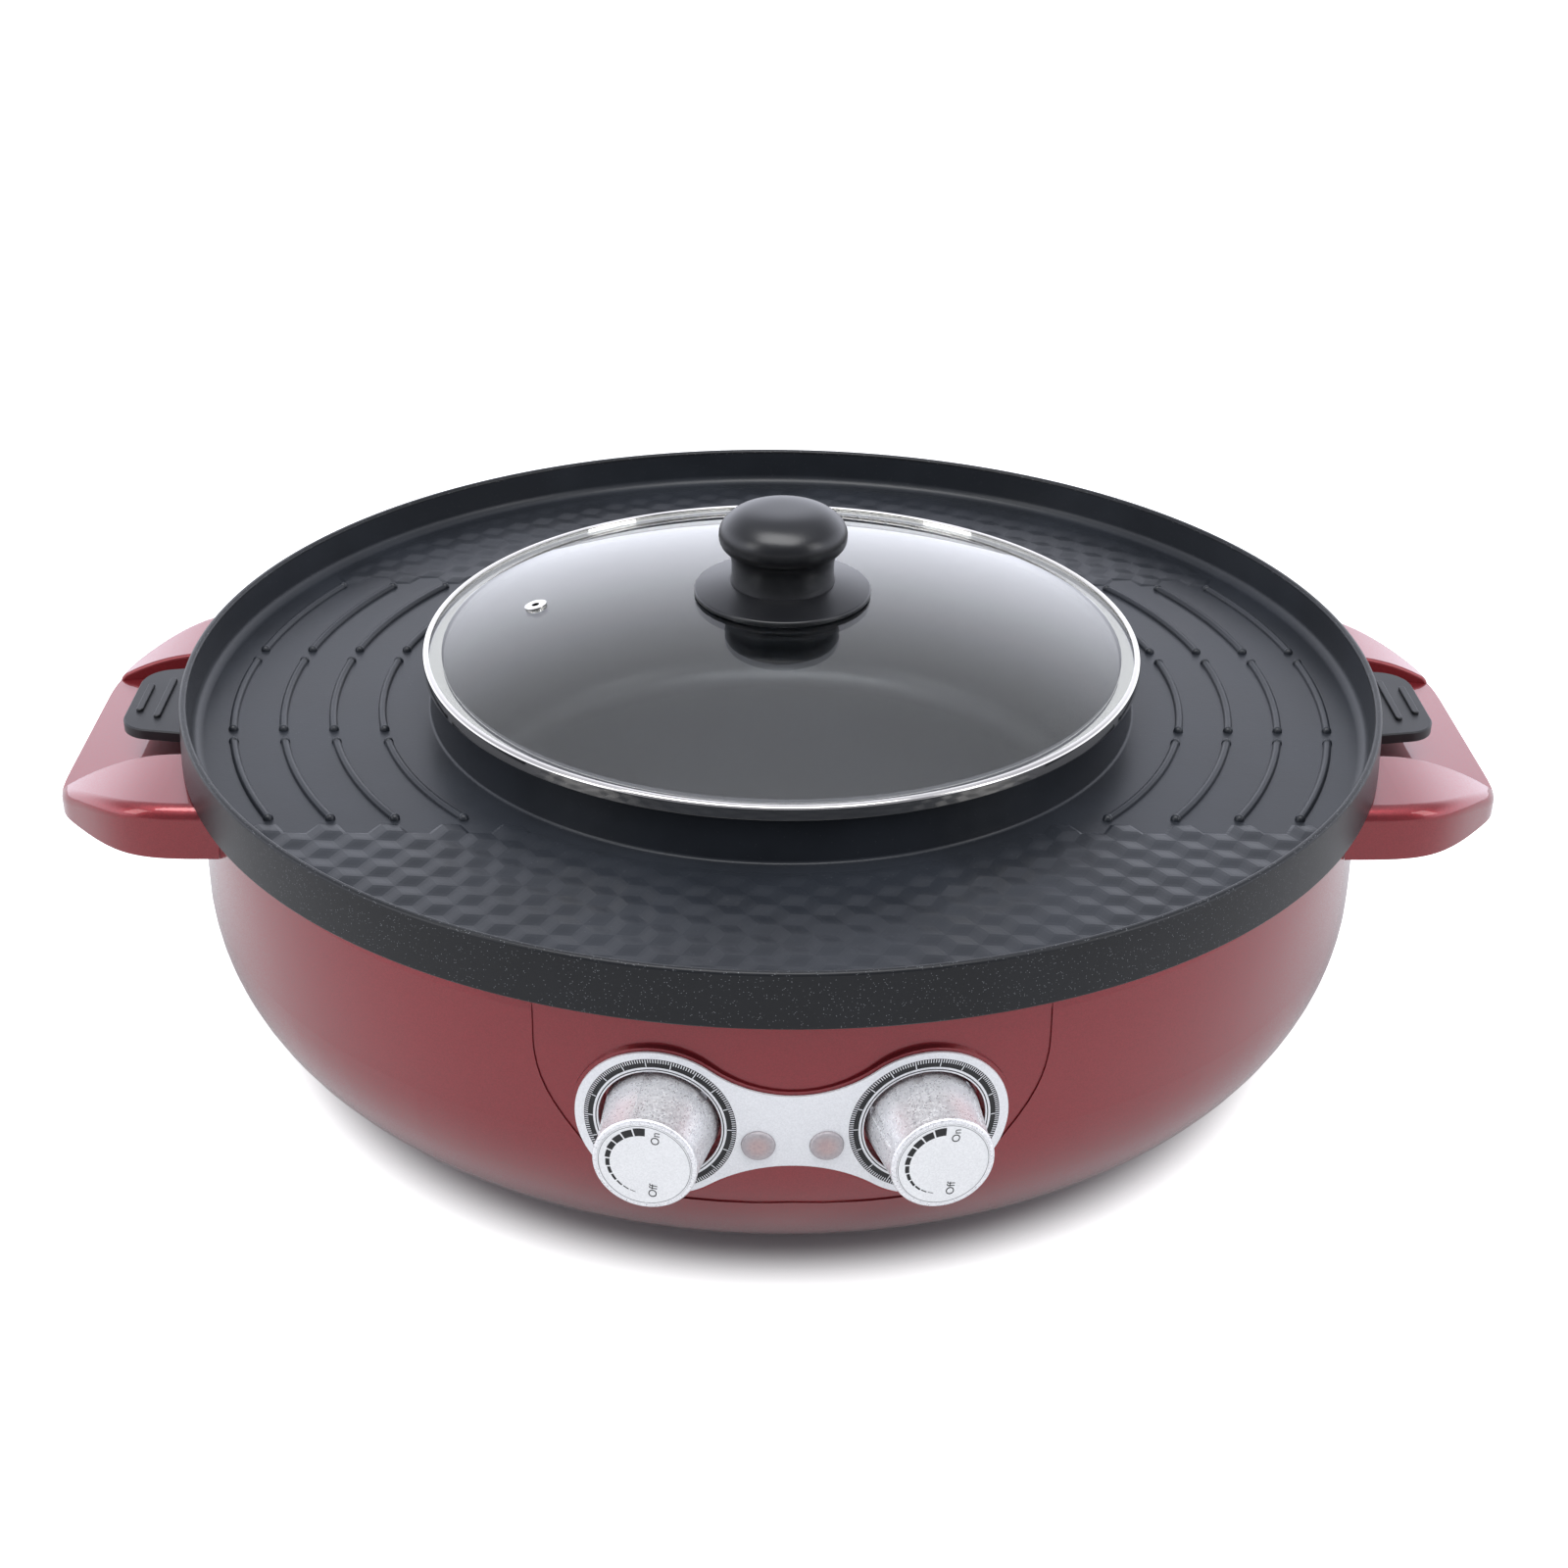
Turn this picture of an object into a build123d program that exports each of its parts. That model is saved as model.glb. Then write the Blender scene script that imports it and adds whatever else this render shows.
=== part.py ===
from build123d import *
from math import asin, cos, degrees, hypot, radians, sin, sqrt
import os

# Two-in-one electric hot pot and ring grill with a lift-off glass lid.
# Millimetres, +Z up.  The origin is on the table, on the axis of the bowl.
# The control face looks along -Y, and the side handles point along -X and +X.

# ---------------------------------------------------------------- running gaps
lift_gap = 0.3               # under a piece that lifts off
seat_gap = 0.1               # between pieces that are fixed together
shaft_gap = 0.08             # round a turning shaft
slide_gap = 0.5              # round the oil tray
cut_margin = 1.0             # how far a cut runs past the wall that it opens

# ---------------------------------------------------------------- cast pan
rim_height = 140.0           # rim of the pan above the table
pan_radius = 222.0
pan_draft = 1.0              # the outer wall is wider at its foot by this much
pan_wall = 2.6
pan_wall_height = 19.5
pan_foot_round = 0.8
rim_round = 1.2
trough_depth = 15.0
trough_corner = 5.0
pot_radius = 131.0
pot_draft = 2.0
pot_wall = 2.8
pot_rise = 2.0               # the pot's mouth stands above the pan's rim
pot_depth = 72.0
pot_floor = 4.0
pot_corner = 16.0
pot_foot_round = 1.5         # where the pot's wall meets the trough
pot_mouth_round = 1.0
pot_root_round = 3.0
rib_gap = 19.0               # from the pot to the first row of ribs
rib_pitch = 18.0
rib_margin = 14.0            # from the last row to the trough's wall, at least
rib_width = 3.0
rib_height = 1.2
rib_front = -103.0
rib_rear = 97.5
rib_break = 7.0
rib_break_centres = (-39.5, 29.0)
drain_radius = 9.0
drain_inset = 26.0           # from the pan's edge to the drain
drain_chamfer = 1.5
spout_wall = 2.5
spout_length = 7.0

# ---------------------------------------------------------------- pan ears
ear_thickness = 4.0
ear_length = 24.0            # beyond the pan's edge
ear_overlap = 15.0           # under the pan
ear_root_width = 62.0
ear_tip_width = 49.0
ear_corner = 12.0
ear_edge = 0.5
ear_rib_width = 2.6
ear_rib_height = 1.1
ear_rib_round = 0.5
ear_rib_places = ((11.5, 33.0), (19.0, 23.0))      # beyond the pan's edge, then length
ear_screw_spread = 34.0
ear_screw_inset = 11.5
ear_screw_radius = 2.0
ear_screw_grip = 2.5
screw_head_radius = 3.6
screw_head_height = 2.0

# ---------------------------------------------------------------- bowl
belly_height = 70.0          # widest level of the bowl
pan_overhang = 7.5           # the pan's edge beyond the bowl's top
bowl_swell = 3.5             # the belly beyond the bowl's top
bowl_turn = 64.0             # radius of the lower curve
bowl_wall = 2.8
bowl_rim_gap = 1.2           # dark gap under the pan
bowl_lip_width = 10.5        # lip inside the bowl's top, which carries the liner
shoulder_drop = 7.0          # faint crease below the bowl's top
shoulder_lean = 0.9          # how far the wall leans in above the crease
face_step = 0.45             # the control face lies this much inside the bowl's curve
face_half_width = 80.5
face_shoulder = 103.0        # below this height the control face narrows
face_waist = (71.0, 76.0)    # a point of its side, then its foot
face_foot = (50.0, 50.0)

# ---------------------------------------------------------------- side handles
handle_length = 50.0         # beyond the bowl's top
handle_drop = 0.9            # top of the handle below the pan's foot
handle_height = 19.6
handle_half_width = 86.0
handle_root_depth = 24.5     # inner end inside the bowl's top, before the bowl is cut away
handle_shoulder = (59.5, 31.0, 81.0)     # from the tip: start of the side's curve, a point passed
handle_corner = (10.0, 62.0)             # from the tip: a point of the side's curve
handle_tip_half_width = 30.0             # straight end of the tip
handle_crown = 45.0                      # from the tip, where the top begins to fall
handle_edge_drop = 13.6                  # how far it falls
handle_edge_round = 5.0
channel_edge_round = 1.2
channel_edge_slope = 0.8      # steeper edges of the channel stay sharp
handle_wall = 3.0
handle_root_wall = 8.0
channel_half_width = 43.0
channel_tip_half_width = 47.0
channel_bend = 34.0          # from the tip, where the channel begins to widen
channel_root_depth = 8.0
channel_edge_depth = 14.4
ear_notch_side = 3.0
ear_notch_drop = 7.5
handle_screw_offset = 62.0
handle_screw_rise = 7.0      # above the handle's lower edge
handle_screw_radius = 2.0
handle_screw_length = 12.0

# ---------------------------------------------------------------- control plate
control_height = 80.0        # axes of the knobs
lens_height = 74.6
plate_thickness = 0.8
plate_gap = 0.1              # between the plate and the bowl's highest point behind it
knob_spacing = 82.6
lobe_radius = 26.4
waist_half_height = 13.0
plate_seat_margin = 1.2
recess_radius = 19.9
recess_depth = 6.2
recess_floor = 2.5
recess_wall = 2.5
lens_spacing = 21.2
lens_radius = 5.3
lens_flange = 6.6
lens_dome = 0.8
lens_flange_height = 1.5
lamp_radius = 3.0
lamp_length = 18.0

# ---------------------------------------------------------------- knobs
knob_base_radius = 18.3
knob_nose_radius = 15.9
knob_length = 20.6           # in front of the control plate
knob_tail = 4.7              # inside the recess
knob_flange = 2.2
knob_flange_radius = 16.3
knob_flange_round = 0.9
knob_flutes = 6
flute_angle = 40.0
flute_width = 3.0
flute_depth = 0.5
flute_margin = 1.6           # from the flute's front end to the flange
knob_hollow_radius = 13.0
knob_hollow_depth = 11.0
knob_hub_radius = 6.0
cap_radius = 14.6
cap_thickness = 0.8
cap_proud = 0.2
shaft_radius = 3.0
shaft_flat = 1.0
shaft_socket = 15.0
bushing_radius = 4.5
bushing_length = 4.6
nut_width = 12.0
nut_height = 1.8
hub_clearance = 1.8          # the hub stays clear of the bushing and its nut
shaft_tail = 5.0             # inside the thermostat
thermostat_width = 30.0
thermostat_height = 25.0
thermostat_depth = 17.0
thermostat_round = 3.0
terminal_width = 6.3
terminal_length = 8.0
terminal_thickness = 0.8

# ---------------------------------------------------------------- heat liners and heaters
sheet = 1.0
liner_flange_inset = 1.5     # from the bowl's top radius
liner_lip_gap = 5.0          # from the bowl's lip to the liner's wall
liner_drop = 30.0            # the liner's floor below the trough's
liner_well_gap = 11.0        # from the pot to the well
liner_well_drop = 19.0       # the well's floor below the pot
liner_bend = 4.0
liner_hole = 30.0
liner_seam = 8.0             # overlap of the two liners
chute_radius = 13.5
chute_wall = 1.0
chute_drop = 7.3             # the chute's top below the bowl's top
chute_gap = 1.5              # between the chute and the oil tray
heater_tube = 3.5
grill_heater_inset = 23.0    # from the liner's wall
grill_heater_drop = 16.0     # below the trough's floor
pot_heater_radius = 82.0
pot_heater_drop = 9.0        # below the pot
heater_end_spread = 18.0     # distance between the two cold ends
heater_end_angle = 60.0      # polar angle of the cold ends
leg_length = 26.0
leg_hole_gap = 1.5
clip_width = 9.0
clip_cheek = 2.5
heater_clip_count = 3
fuse_radius = 3.2
fuse_length = 18.0
fuse_place = (70.0, -30.0)
fuse_clamp = 1.5
fuse_clamp_width = 8.0
fuse_clamp_ear = 6.0

# ---------------------------------------------------------------- bottom cover
foot_height = 3.5
cover_thickness = 2.5
cover_inset = 4.0            # from the edge of the bowl's flat bottom
cover_overlap = 7.0          # on the bowl
cover_screws = 6
cover_screw_radius = 1.9
cover_screw_head = 3.4
cover_screw_head_height = 2.0
cover_screw_length = 12.0
cover_boss_radius = 4.2
cover_boss_height = 10.0
vent_slots = 12
vent_circle = 92.0
vent_start = 15.0
vent_length = 26.0
vent_width = 4.0
foot_count = 4
foot_start = 45.0
foot_inset = 22.0            # from the cover's edge
foot_radius = 9.0
foot_tip_radius = 7.5
foot_stem_radius = 3.0
foot_stem_proud = 2.0

# ---------------------------------------------------------------- mains inlet
inlet_height = 60.0
inlet_angle = 48.0
inlet_width = 31.0
inlet_tall = 24.0
inlet_flange = 3.5
inlet_flange_thickness = 2.5
inlet_proud = 2.4            # outer face of its flange beyond the belly
inlet_depth = 24.0
inlet_wall = 2.5
inlet_recess = 17.0
inlet_corner = 3.0
pin_width = 4.0
pin_thickness = 2.0
pin_length = 15.0
pin_tail = 6.0
pin_spread = 14.0
pin_rise = 4.0
block_size = (44.0, 20.0, 14.0)
block_place = (58.0, 84.0)
block_hole_radius = 1.8
block_poles = 3
block_step = 5.0

# ---------------------------------------------------------------- oil tray
tray_height = 50.0           # underside of the tray
tray_half_width = 38.0
tray_wall = 2.0
tray_depth = 24.0
tray_well_gap = 10.0         # from the pot's liner to the tray
tray_end_wall = 9.0          # from the room inside to the bowl's belly
tray_face_half_width = 44.0
tray_face_height = 36.0
tray_face_thickness = 2.6
tray_pull = (40.0, 15.0, 6.0)            # finger pocket: wide, high, deep
guide_wall = 2.0

# ---------------------------------------------------------------- lid
lid_overhang = 3.1           # the band beyond the pot's mouth
lid_sheet = 0.8
lid_rim_height = 5.2
lid_rim_lip = 2.4
lid_rim_foot_round = 0.5
lid_rim_round = 1.2
lid_skirt_depth = 3.0
lid_skirt_gap = 0.6
glass_thickness = 3.4
glass_shoulder = 7.1         # flat edge of the glass inside the band
glass_rise = 20.0
vent_inset = 41.6            # from the lid's edge
vent_offset = 7.0
eyelet_flange = 4.2
eyelet_radius = 2.6
eyelet_bore = 1.5
eyelet_lip = 0.7
skirt_radius = 33.0
skirt_edge = 2.0
skirt_rise = 3.4
skirt_land = 20.0
lid_knob_neck = 19.4
lid_knob_waist = (19.0, 5.5)             # radius, and height above the skirt
lid_knob_throat = (20.2, 11.5)
lid_knob_head = (23.8, 18.0)
lid_knob_brow = (20.6, 24.4)
lid_knob_height = 28.6
lid_screw_radius = 2.4
lid_screw_grip = 14.0
lid_screw_tip_gap = 1.0
lid_screw_head = 5.0
lid_screw_head_height = 2.6
washer_radius = 10.0
washer_thickness = 1.4


# ---------------------------------------------------------------- derived places
pan_base = rim_height - pan_wall_height
trough_floor = rim_height - trough_depth
trough_radius = pan_radius - pan_wall - pan_draft
pot_mouth = rim_height + pot_rise
pot_inside = pot_mouth - pot_depth
pot_underside = pot_inside - pot_floor
rib_first_radius = pot_radius + rib_gap
rib_rows = int((trough_radius - rib_margin - rib_first_radius) / rib_pitch) + 1
drain_offset = pan_radius - drain_inset
ear_base = pan_base - ear_thickness
ear_root = pan_radius - ear_overlap
ear_reach = pan_radius + ear_length
ear_screw_place = pan_radius - ear_screw_inset

bowl_top = pan_base - bowl_rim_gap
bowl_top_radius = pan_radius - pan_overhang
belly_radius = bowl_top_radius + bowl_swell
bowl_base = foot_height + cover_thickness
bowl_bottom_radius = belly_radius - bowl_turn
bowl_lip = bowl_top_radius - bowl_lip_width
cover_base = bowl_base - cover_thickness
cover_radius = bowl_bottom_radius - cover_inset
bowl_mouth = cover_radius - cover_overlap
cover_screw_circle = cover_radius - cover_overlap / 2
foot_circle = cover_radius - foot_inset

plate_back = belly_radius - face_step + plate_gap
plate_radius = plate_back + plate_thickness
handle_reach = bowl_top_radius + handle_length
handle_top = pan_base - handle_drop
handle_base = handle_top - handle_height
handle_root = bowl_top_radius - handle_root_depth

liner_radius = bowl_lip - liner_lip_gap
liner_flange_radius = bowl_top_radius - liner_flange_inset
liner_floor_height = trough_floor - liner_drop
liner_well_radius = pot_radius + liner_well_gap
liner_well_height = pot_underside - liner_well_drop
grill_heater_radius = liner_radius - grill_heater_inset
grill_heater_height = trough_floor - grill_heater_drop
pot_heater_height = pot_underside - pot_heater_drop
chute_top = bowl_top - chute_drop
chute_base = tray_height + tray_depth + chute_gap

inlet_offset = belly_radius + inlet_proud
pin_places = (
    (-pin_spread / 2, -pin_rise / 2),
    (0, pin_rise / 2),
    (pin_spread / 2, -pin_rise / 2),
)
tray_front = liner_well_radius + tray_well_gap
tray_rear = belly_radius - tray_end_wall
tray_face_radius = belly_radius + lift_gap + tray_face_thickness

lid_radius = pot_radius + lid_overhang
lid_base = pot_mouth + lift_gap
glass_edge = lid_base + lid_sheet + seat_gap
glass_dome_radius = lid_radius - glass_shoulder
glass_top = glass_edge + glass_thickness + glass_rise
vent_place = (vent_inset - lid_radius, vent_offset)


def bowl_form(inset, lean=shoulder_lean):
    """The bowl as a solid of revolution, drawn in by inset; lean tips its wall in at the top."""
    with BuildPart() as form:
        with BuildSketch(Plane.XZ):
            with BuildLine():
                low = bowl_base + inset
                belly = (belly_radius - inset, belly_height)
                rise = bowl_top - belly_height
                shoulder = bowl_top_radius + bowl_swell * (1 - (1 - shoulder_drop / rise) ** 2)
                lower = TangentArc(belly, (bowl_bottom_radius, low), tangent=(0, -1))
                upper = TangentArc(belly, (shoulder - inset, bowl_top - shoulder_drop),
                                   tangent=(0, 1))
                Polyline(upper @ 1, (bowl_top_radius - lean - inset, bowl_top), (0, bowl_top),
                         (0, low), lower @ 1)
            make_face()
        revolve(axis=Axis.Z)
    return form.part


def ring_slab(inner, outer, low, high):
    """A plain upright ring."""
    with BuildPart() as slab:
        with BuildSketch(Plane.XY.offset(low)):
            Circle(outer)
            Circle(inner, mode=Mode.SUBTRACT)
        extrude(amount=high - low)
    return slab.part


def knob_plane(side):
    """Plane on the face of the control plate, on one knob's axis, facing out."""
    azimuth = side * asin(knob_spacing / 2 / plate_radius)
    outward = Vector(sin(azimuth), -cos(azimuth), 0)
    sideways = Vector(cos(azimuth), sin(azimuth), 0)
    return Plane(outward * plate_radius + Vector(0, 0, control_height), sideways, outward)


def radial_plane(angle, radius, height):
    """Upright plane that faces away from the bowl's axis."""
    turn = radians(angle)
    outward = Vector(cos(turn), sin(turn), 0)
    sideways = Vector(-sin(turn), cos(turn), 0)
    return Plane(outward * radius + Vector(0, 0, height), sideways, outward)


# ================================================================ cast pan
def pan_section():
    """Half section of the one-piece casting: ring trough and pot."""
    foot = pan_radius + pan_draft
    inner = pan_radius - pan_wall
    pot_in = pot_radius - pot_wall
    outline = (
        ((foot, pan_base), pan_foot_round),
        ((pan_radius, rim_height), rim_round),
        ((inner, rim_height), rim_round),
        ((inner - pan_draft, trough_floor), trough_corner),
        ((pot_radius + pot_draft / 2, trough_floor), pot_foot_round),
        ((pot_radius, pot_mouth), pot_mouth_round),
        ((pot_in, pot_mouth), pot_mouth_round),
        ((pot_in - pot_draft, pot_inside), pot_corner - pot_wall),
        ((0, pot_inside), 0),
        ((0, pot_underside), 0),
        ((pot_radius - pot_draft, pot_underside), pot_corner),
        ((pot_radius, pan_base), pot_root_round),
    )
    with BuildSketch(Plane.XZ) as section:
        with BuildLine():
            points = [point for point, _ in outline]
            FilletPolyline(points, radius=[radius for _, radius in outline], close=True)
        make_face()
    return section.sketch


def rib_bands():
    """Front and rear ends, along Y, of the bands that the ribs are broken into."""
    ends = [rib_front + rib_width / 2]
    for centre in rib_break_centres:
        ends += [centre - rib_break / 2 - rib_width / 2, centre + rib_break / 2 + rib_width / 2]
    ends.append(rib_rear - rib_width / 2)
    return list(zip(ends[0::2], ends[1::2]))


with BuildPart() as pan:
    add(pan_section())
    revolve(axis=Axis.Z)
    with BuildSketch(Plane.XY.offset(trough_floor)) as ribs:
        for row in range(rib_rows):
            rib_radius = rib_first_radius + row * rib_pitch
            for front, rear in rib_bands():
                start = degrees(asin(front / rib_radius))
                sweep_angle = degrees(asin(rear / rib_radius)) - start
                arc = CenterArc((0, 0), rib_radius, start, sweep_angle, mode=Mode.PRIVATE)
                SlotArc(arc, rib_width)
                SlotArc(arc.mirror(Plane.YZ), rib_width)
    extrude(amount=rib_height)
    with BuildSketch(Plane.XY.offset(pan_base)):
        with Locations((0, drain_offset)):
            Circle(drain_radius + spout_wall)
    extrude(amount=-spout_length)
    with Locations((0, drain_offset, trough_floor)):
        CounterSinkHole(drain_radius, drain_radius + drain_chamfer)
    with Locations(*[
        (side * ear_screw_place, y, pan_base)
        for side in (-1, 1) for y in (-ear_screw_spread / 2, ear_screw_spread / 2)
    ]):
        Cylinder(ear_screw_radius + seat_gap, ear_screw_grip + seat_gap,
                 align=(Align.CENTER, Align.CENTER, Align.MIN), mode=Mode.SUBTRACT)


def pan_ear():
    """Flat lifting ear under the pan's edge, with two finger ribs."""
    with BuildPart() as ear:
        with BuildSketch(Plane.XY.offset(ear_base)):
            with BuildLine():
                Polyline(
                    (ear_root, -ear_root_width / 2),
                    (ear_reach, -ear_tip_width / 2),
                    (ear_reach, ear_tip_width / 2),
                    (ear_root, ear_root_width / 2),
                    close=True,
                )
            outline = make_face()
            fillet(outline.vertices().group_by(Axis.X)[-1], ear_corner)
        extrude(amount=ear_thickness)
        chamfer(ear.faces().sort_by(Axis.Z)[-1].edges().group_by(Axis.X)[-1], ear_edge)
        with BuildSketch(Plane.XY.offset(pan_base)):
            for place, length in ear_rib_places:
                with Locations((pan_radius + place, 0)):
                    SlotOverall(length, ear_rib_width, rotation=90)
        extrude(amount=ear_rib_height)
        fillet(ear.edges().group_by(Axis.Z)[-1], ear_rib_round)
        with Locations(*[(ear_screw_place, y, ear_base)
                         for y in (-ear_screw_spread / 2, ear_screw_spread / 2)]):
            Hole(ear_screw_radius + seat_gap)
    return ear.part


with BuildPart() as pan_ear_right:
    add(pan_ear())

with BuildPart() as pan_ear_left:
    add(mirror(pan_ear_right.part, about=Plane.YZ))

with BuildPart() as ear_screws:
    with Locations(*[
        (side * ear_screw_place, y, ear_base - screw_head_height)
        for side in (-1, 1) for y in (-ear_screw_spread / 2, ear_screw_spread / 2)
    ]):
        Cylinder(screw_head_radius, screw_head_height,
                 align=(Align.CENTER, Align.CENTER, Align.MIN))
        Cylinder(ear_screw_radius, screw_head_height + ear_thickness + ear_screw_grip,
                 align=(Align.CENTER, Align.CENTER, Align.MIN))


# ================================================================ lid
def dome_height(radius, top):
    """Height of a dome's surface at a radius, from the height of its crown."""
    sphere = (glass_dome_radius ** 2 + glass_rise ** 2) / (2 * glass_rise)
    return top - sphere + sqrt(sphere ** 2 - radius ** 2)


with BuildPart() as lid_rim:
    with BuildSketch(Plane.XZ):
        with BuildLine():
            top = lid_base + lid_rim_height
            lip = lid_radius - lid_rim_lip
            skirt_out = pot_radius - pot_wall - lid_skirt_gap
            FilletPolyline(
                (lid_radius, lid_base), (lid_radius, top), (lip, top), (lip, top - lid_sheet),
                (lid_radius - lid_sheet, top - lid_sheet), (lid_radius - lid_sheet, lid_base + lid_sheet),
                (skirt_out - lid_sheet, lid_base + lid_sheet),
                (skirt_out - lid_sheet, lid_base - lid_skirt_depth),
                (skirt_out, lid_base - lid_skirt_depth), (skirt_out, lid_base),
                radius=(lid_rim_foot_round, lid_rim_round, 0, 0, 0, 0, 0, 0, 0, 0), close=True,
            )
        make_face()
    revolve(axis=Axis.Z)

vent_radius = hypot(*vent_place)
glass_sphere = (glass_dome_radius ** 2 + glass_rise ** 2) / (2 * glass_rise)
vent_normal = Vector(*vent_place, dome_height(vent_radius, glass_top) - glass_top + glass_sphere)
vent_plane = Plane(Vector(*vent_place, dome_height(vent_radius, glass_top)), z_dir=vent_normal)

with BuildPart() as lid_glass:
    with BuildSketch(Plane.XZ):
        with BuildLine():
            rim = lid_radius - lid_sheet - seat_gap
            outer = TangentArc((0, glass_top), (glass_dome_radius, glass_edge + glass_thickness),
                               tangent=(1, 0))
            inner = TangentArc((0, glass_top - glass_thickness), (glass_dome_radius, glass_edge),
                               tangent=(1, 0))
            Polyline(outer @ 1, (rim, glass_edge + glass_thickness), (rim, glass_edge), inner @ 1)
            Line(outer @ 0, inner @ 0)
        make_face()
    revolve(axis=Axis.Z)
    with Locations((0, 0, glass_top)):
        Hole(lid_screw_radius + lift_gap)
    with Locations(vent_plane):
        Hole(eyelet_radius + seat_gap, depth=glass_thickness * 2)

with BuildPart() as lid_vent_eyelet:
    with BuildSketch(vent_plane.offset(-glass_thickness - eyelet_lip - seat_gap)):
        Circle(eyelet_radius + eyelet_lip)
        Circle(eyelet_bore, mode=Mode.SUBTRACT)
    extrude(amount=eyelet_lip)
    with BuildSketch(vent_plane.offset(-glass_thickness - eyelet_lip - seat_gap)):
        Circle(eyelet_radius)
        Circle(eyelet_bore, mode=Mode.SUBTRACT)
    extrude(amount=glass_thickness + 2 * eyelet_lip + seat_gap)
    with BuildSketch(vent_plane.offset(seat_gap)):
        Circle(eyelet_flange)
        Circle(eyelet_bore, mode=Mode.SUBTRACT)
    extrude(amount=eyelet_lip)

skirt_seat = glass_top + lift_gap
skirt_top = skirt_seat + skirt_rise
with BuildPart() as lid_knob_skirt:
    with BuildSketch(Plane.XZ):
        with BuildLine():
            edge = dome_height(skirt_radius, glass_top) + lift_gap
            bore = lid_screw_radius + lift_gap
            under = TangentArc((0, skirt_seat), (skirt_radius, edge), tangent=(1, 0))
            Polyline(under @ 1, (skirt_radius, edge + skirt_edge), (skirt_land, skirt_top),
                     (0, skirt_top), (0, skirt_seat))
        make_face()
    revolve(axis=Axis.Z)
    with Locations((0, 0, skirt_top)):
        Hole(bore)

with BuildPart() as lid_knob:
    with BuildSketch(Plane.XZ):
        with BuildLine():
            waist, throat, head, brow = [
                (radius, skirt_top + height)
                for radius, height in (lid_knob_waist, lid_knob_throat, lid_knob_head, lid_knob_brow)
            ]
            neck = Spline((lid_knob_neck, skirt_top), waist, throat, head,
                          tangents=((-0.2, 1), (0, 1)))
            crown = Spline(head, brow, (0, skirt_top + lid_knob_height), tangents=((0, 1), (-1, 0)))
            Polyline(crown @ 1, (0, skirt_top), neck @ 0)
        make_face()
    revolve(axis=Axis.Z)
    with Locations((0, 0, skirt_top)):
        Cylinder(lid_screw_radius + seat_gap, lid_screw_grip,
                 align=(Align.CENTER, Align.CENTER, Align.MIN), mode=Mode.SUBTRACT)

washer_top = dome_height(washer_radius, glass_top) - glass_thickness - seat_gap
with BuildPart() as lid_washer:
    with Locations((0, 0, washer_top)):
        Cylinder(washer_radius, washer_thickness, align=(Align.CENTER, Align.CENTER, Align.MAX))
        Hole(lid_screw_radius + lift_gap)

with BuildPart() as lid_screw:
    with Locations((0, 0, washer_top - washer_thickness - lid_screw_head_height)):
        Cylinder(lid_screw_head, lid_screw_head_height,
                 align=(Align.CENTER, Align.CENTER, Align.MIN))
    with Locations((0, 0, washer_top - washer_thickness)):
        Cylinder(lid_screw_radius,
                 skirt_top + lid_screw_grip - lid_screw_tip_gap - washer_top + washer_thickness,
                 align=(Align.CENTER, Align.CENTER, Align.MIN))


# ================================================================ bowl
def bone(grow):
    """Bone-shaped outline of the control plate on the sketch plane, grown outwards."""
    half = knob_spacing / 2
    rise = half ** 2 + waist_half_height ** 2 - lobe_radius ** 2
    waist = rise / (2 * (lobe_radius - waist_half_height))
    joint = (waist + waist_half_height) / (waist + lobe_radius) * lobe_radius
    join_x = half - half / (waist + lobe_radius) * lobe_radius
    with BuildSketch(Plane.XZ) as outline:
        with Locations((-half, control_height), (half, control_height)):
            Circle(lobe_radius)
        with Locations((0, control_height)):
            Rectangle(2 * join_x, 2 * joint)
        with Locations((0, control_height + waist + waist_half_height),
                       (0, control_height - waist - waist_half_height)):
            Circle(waist, mode=Mode.SUBTRACT)
        if grow:
            offset(amount=grow)
    return outline.sketch


def bone_slab(grow, inner, outer):
    """The plate's outline as a curved slab between two radii."""
    with BuildPart() as slab:
        extrude(bone(grow).face(), amount=outer + cut_margin, dir=(0, -1, 0))
        reach = lobe_radius + grow + cut_margin
        add(ring_slab(inner, outer, control_height - reach, control_height + reach),
            mode=Mode.INTERSECT)
    return slab.part


def face_slab():
    """Everything in front of the bowl's axis inside the control face's outline."""
    with BuildPart() as slab:
        with BuildSketch(Plane.XZ):
            with BuildLine():
                side = Spline((face_half_width, face_shoulder), face_waist, face_foot,
                              tangents=((0, -1), (-0.8, -1)))
                foot = ThreePointArc(side @ 1, (face_foot[0] / 2, face_foot[1] - plate_seat_margin),
                                     (0, face_foot[1] - plate_seat_margin / 2))
                Polyline(foot @ 1, (0, bowl_top), (face_half_width, bowl_top), side @ 0)
            make_face()
            mirror(about=Plane.YZ)
        extrude(amount=belly_radius + bowl_wall)
    return slab.part


def control_face(inset):
    """The part of the bowl's form behind the control face, without the lean at the top."""
    with BuildPart() as form:
        add(bowl_form(inset, 0))
        add(face_slab(), mode=Mode.INTERSECT)
    return form.part


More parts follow.
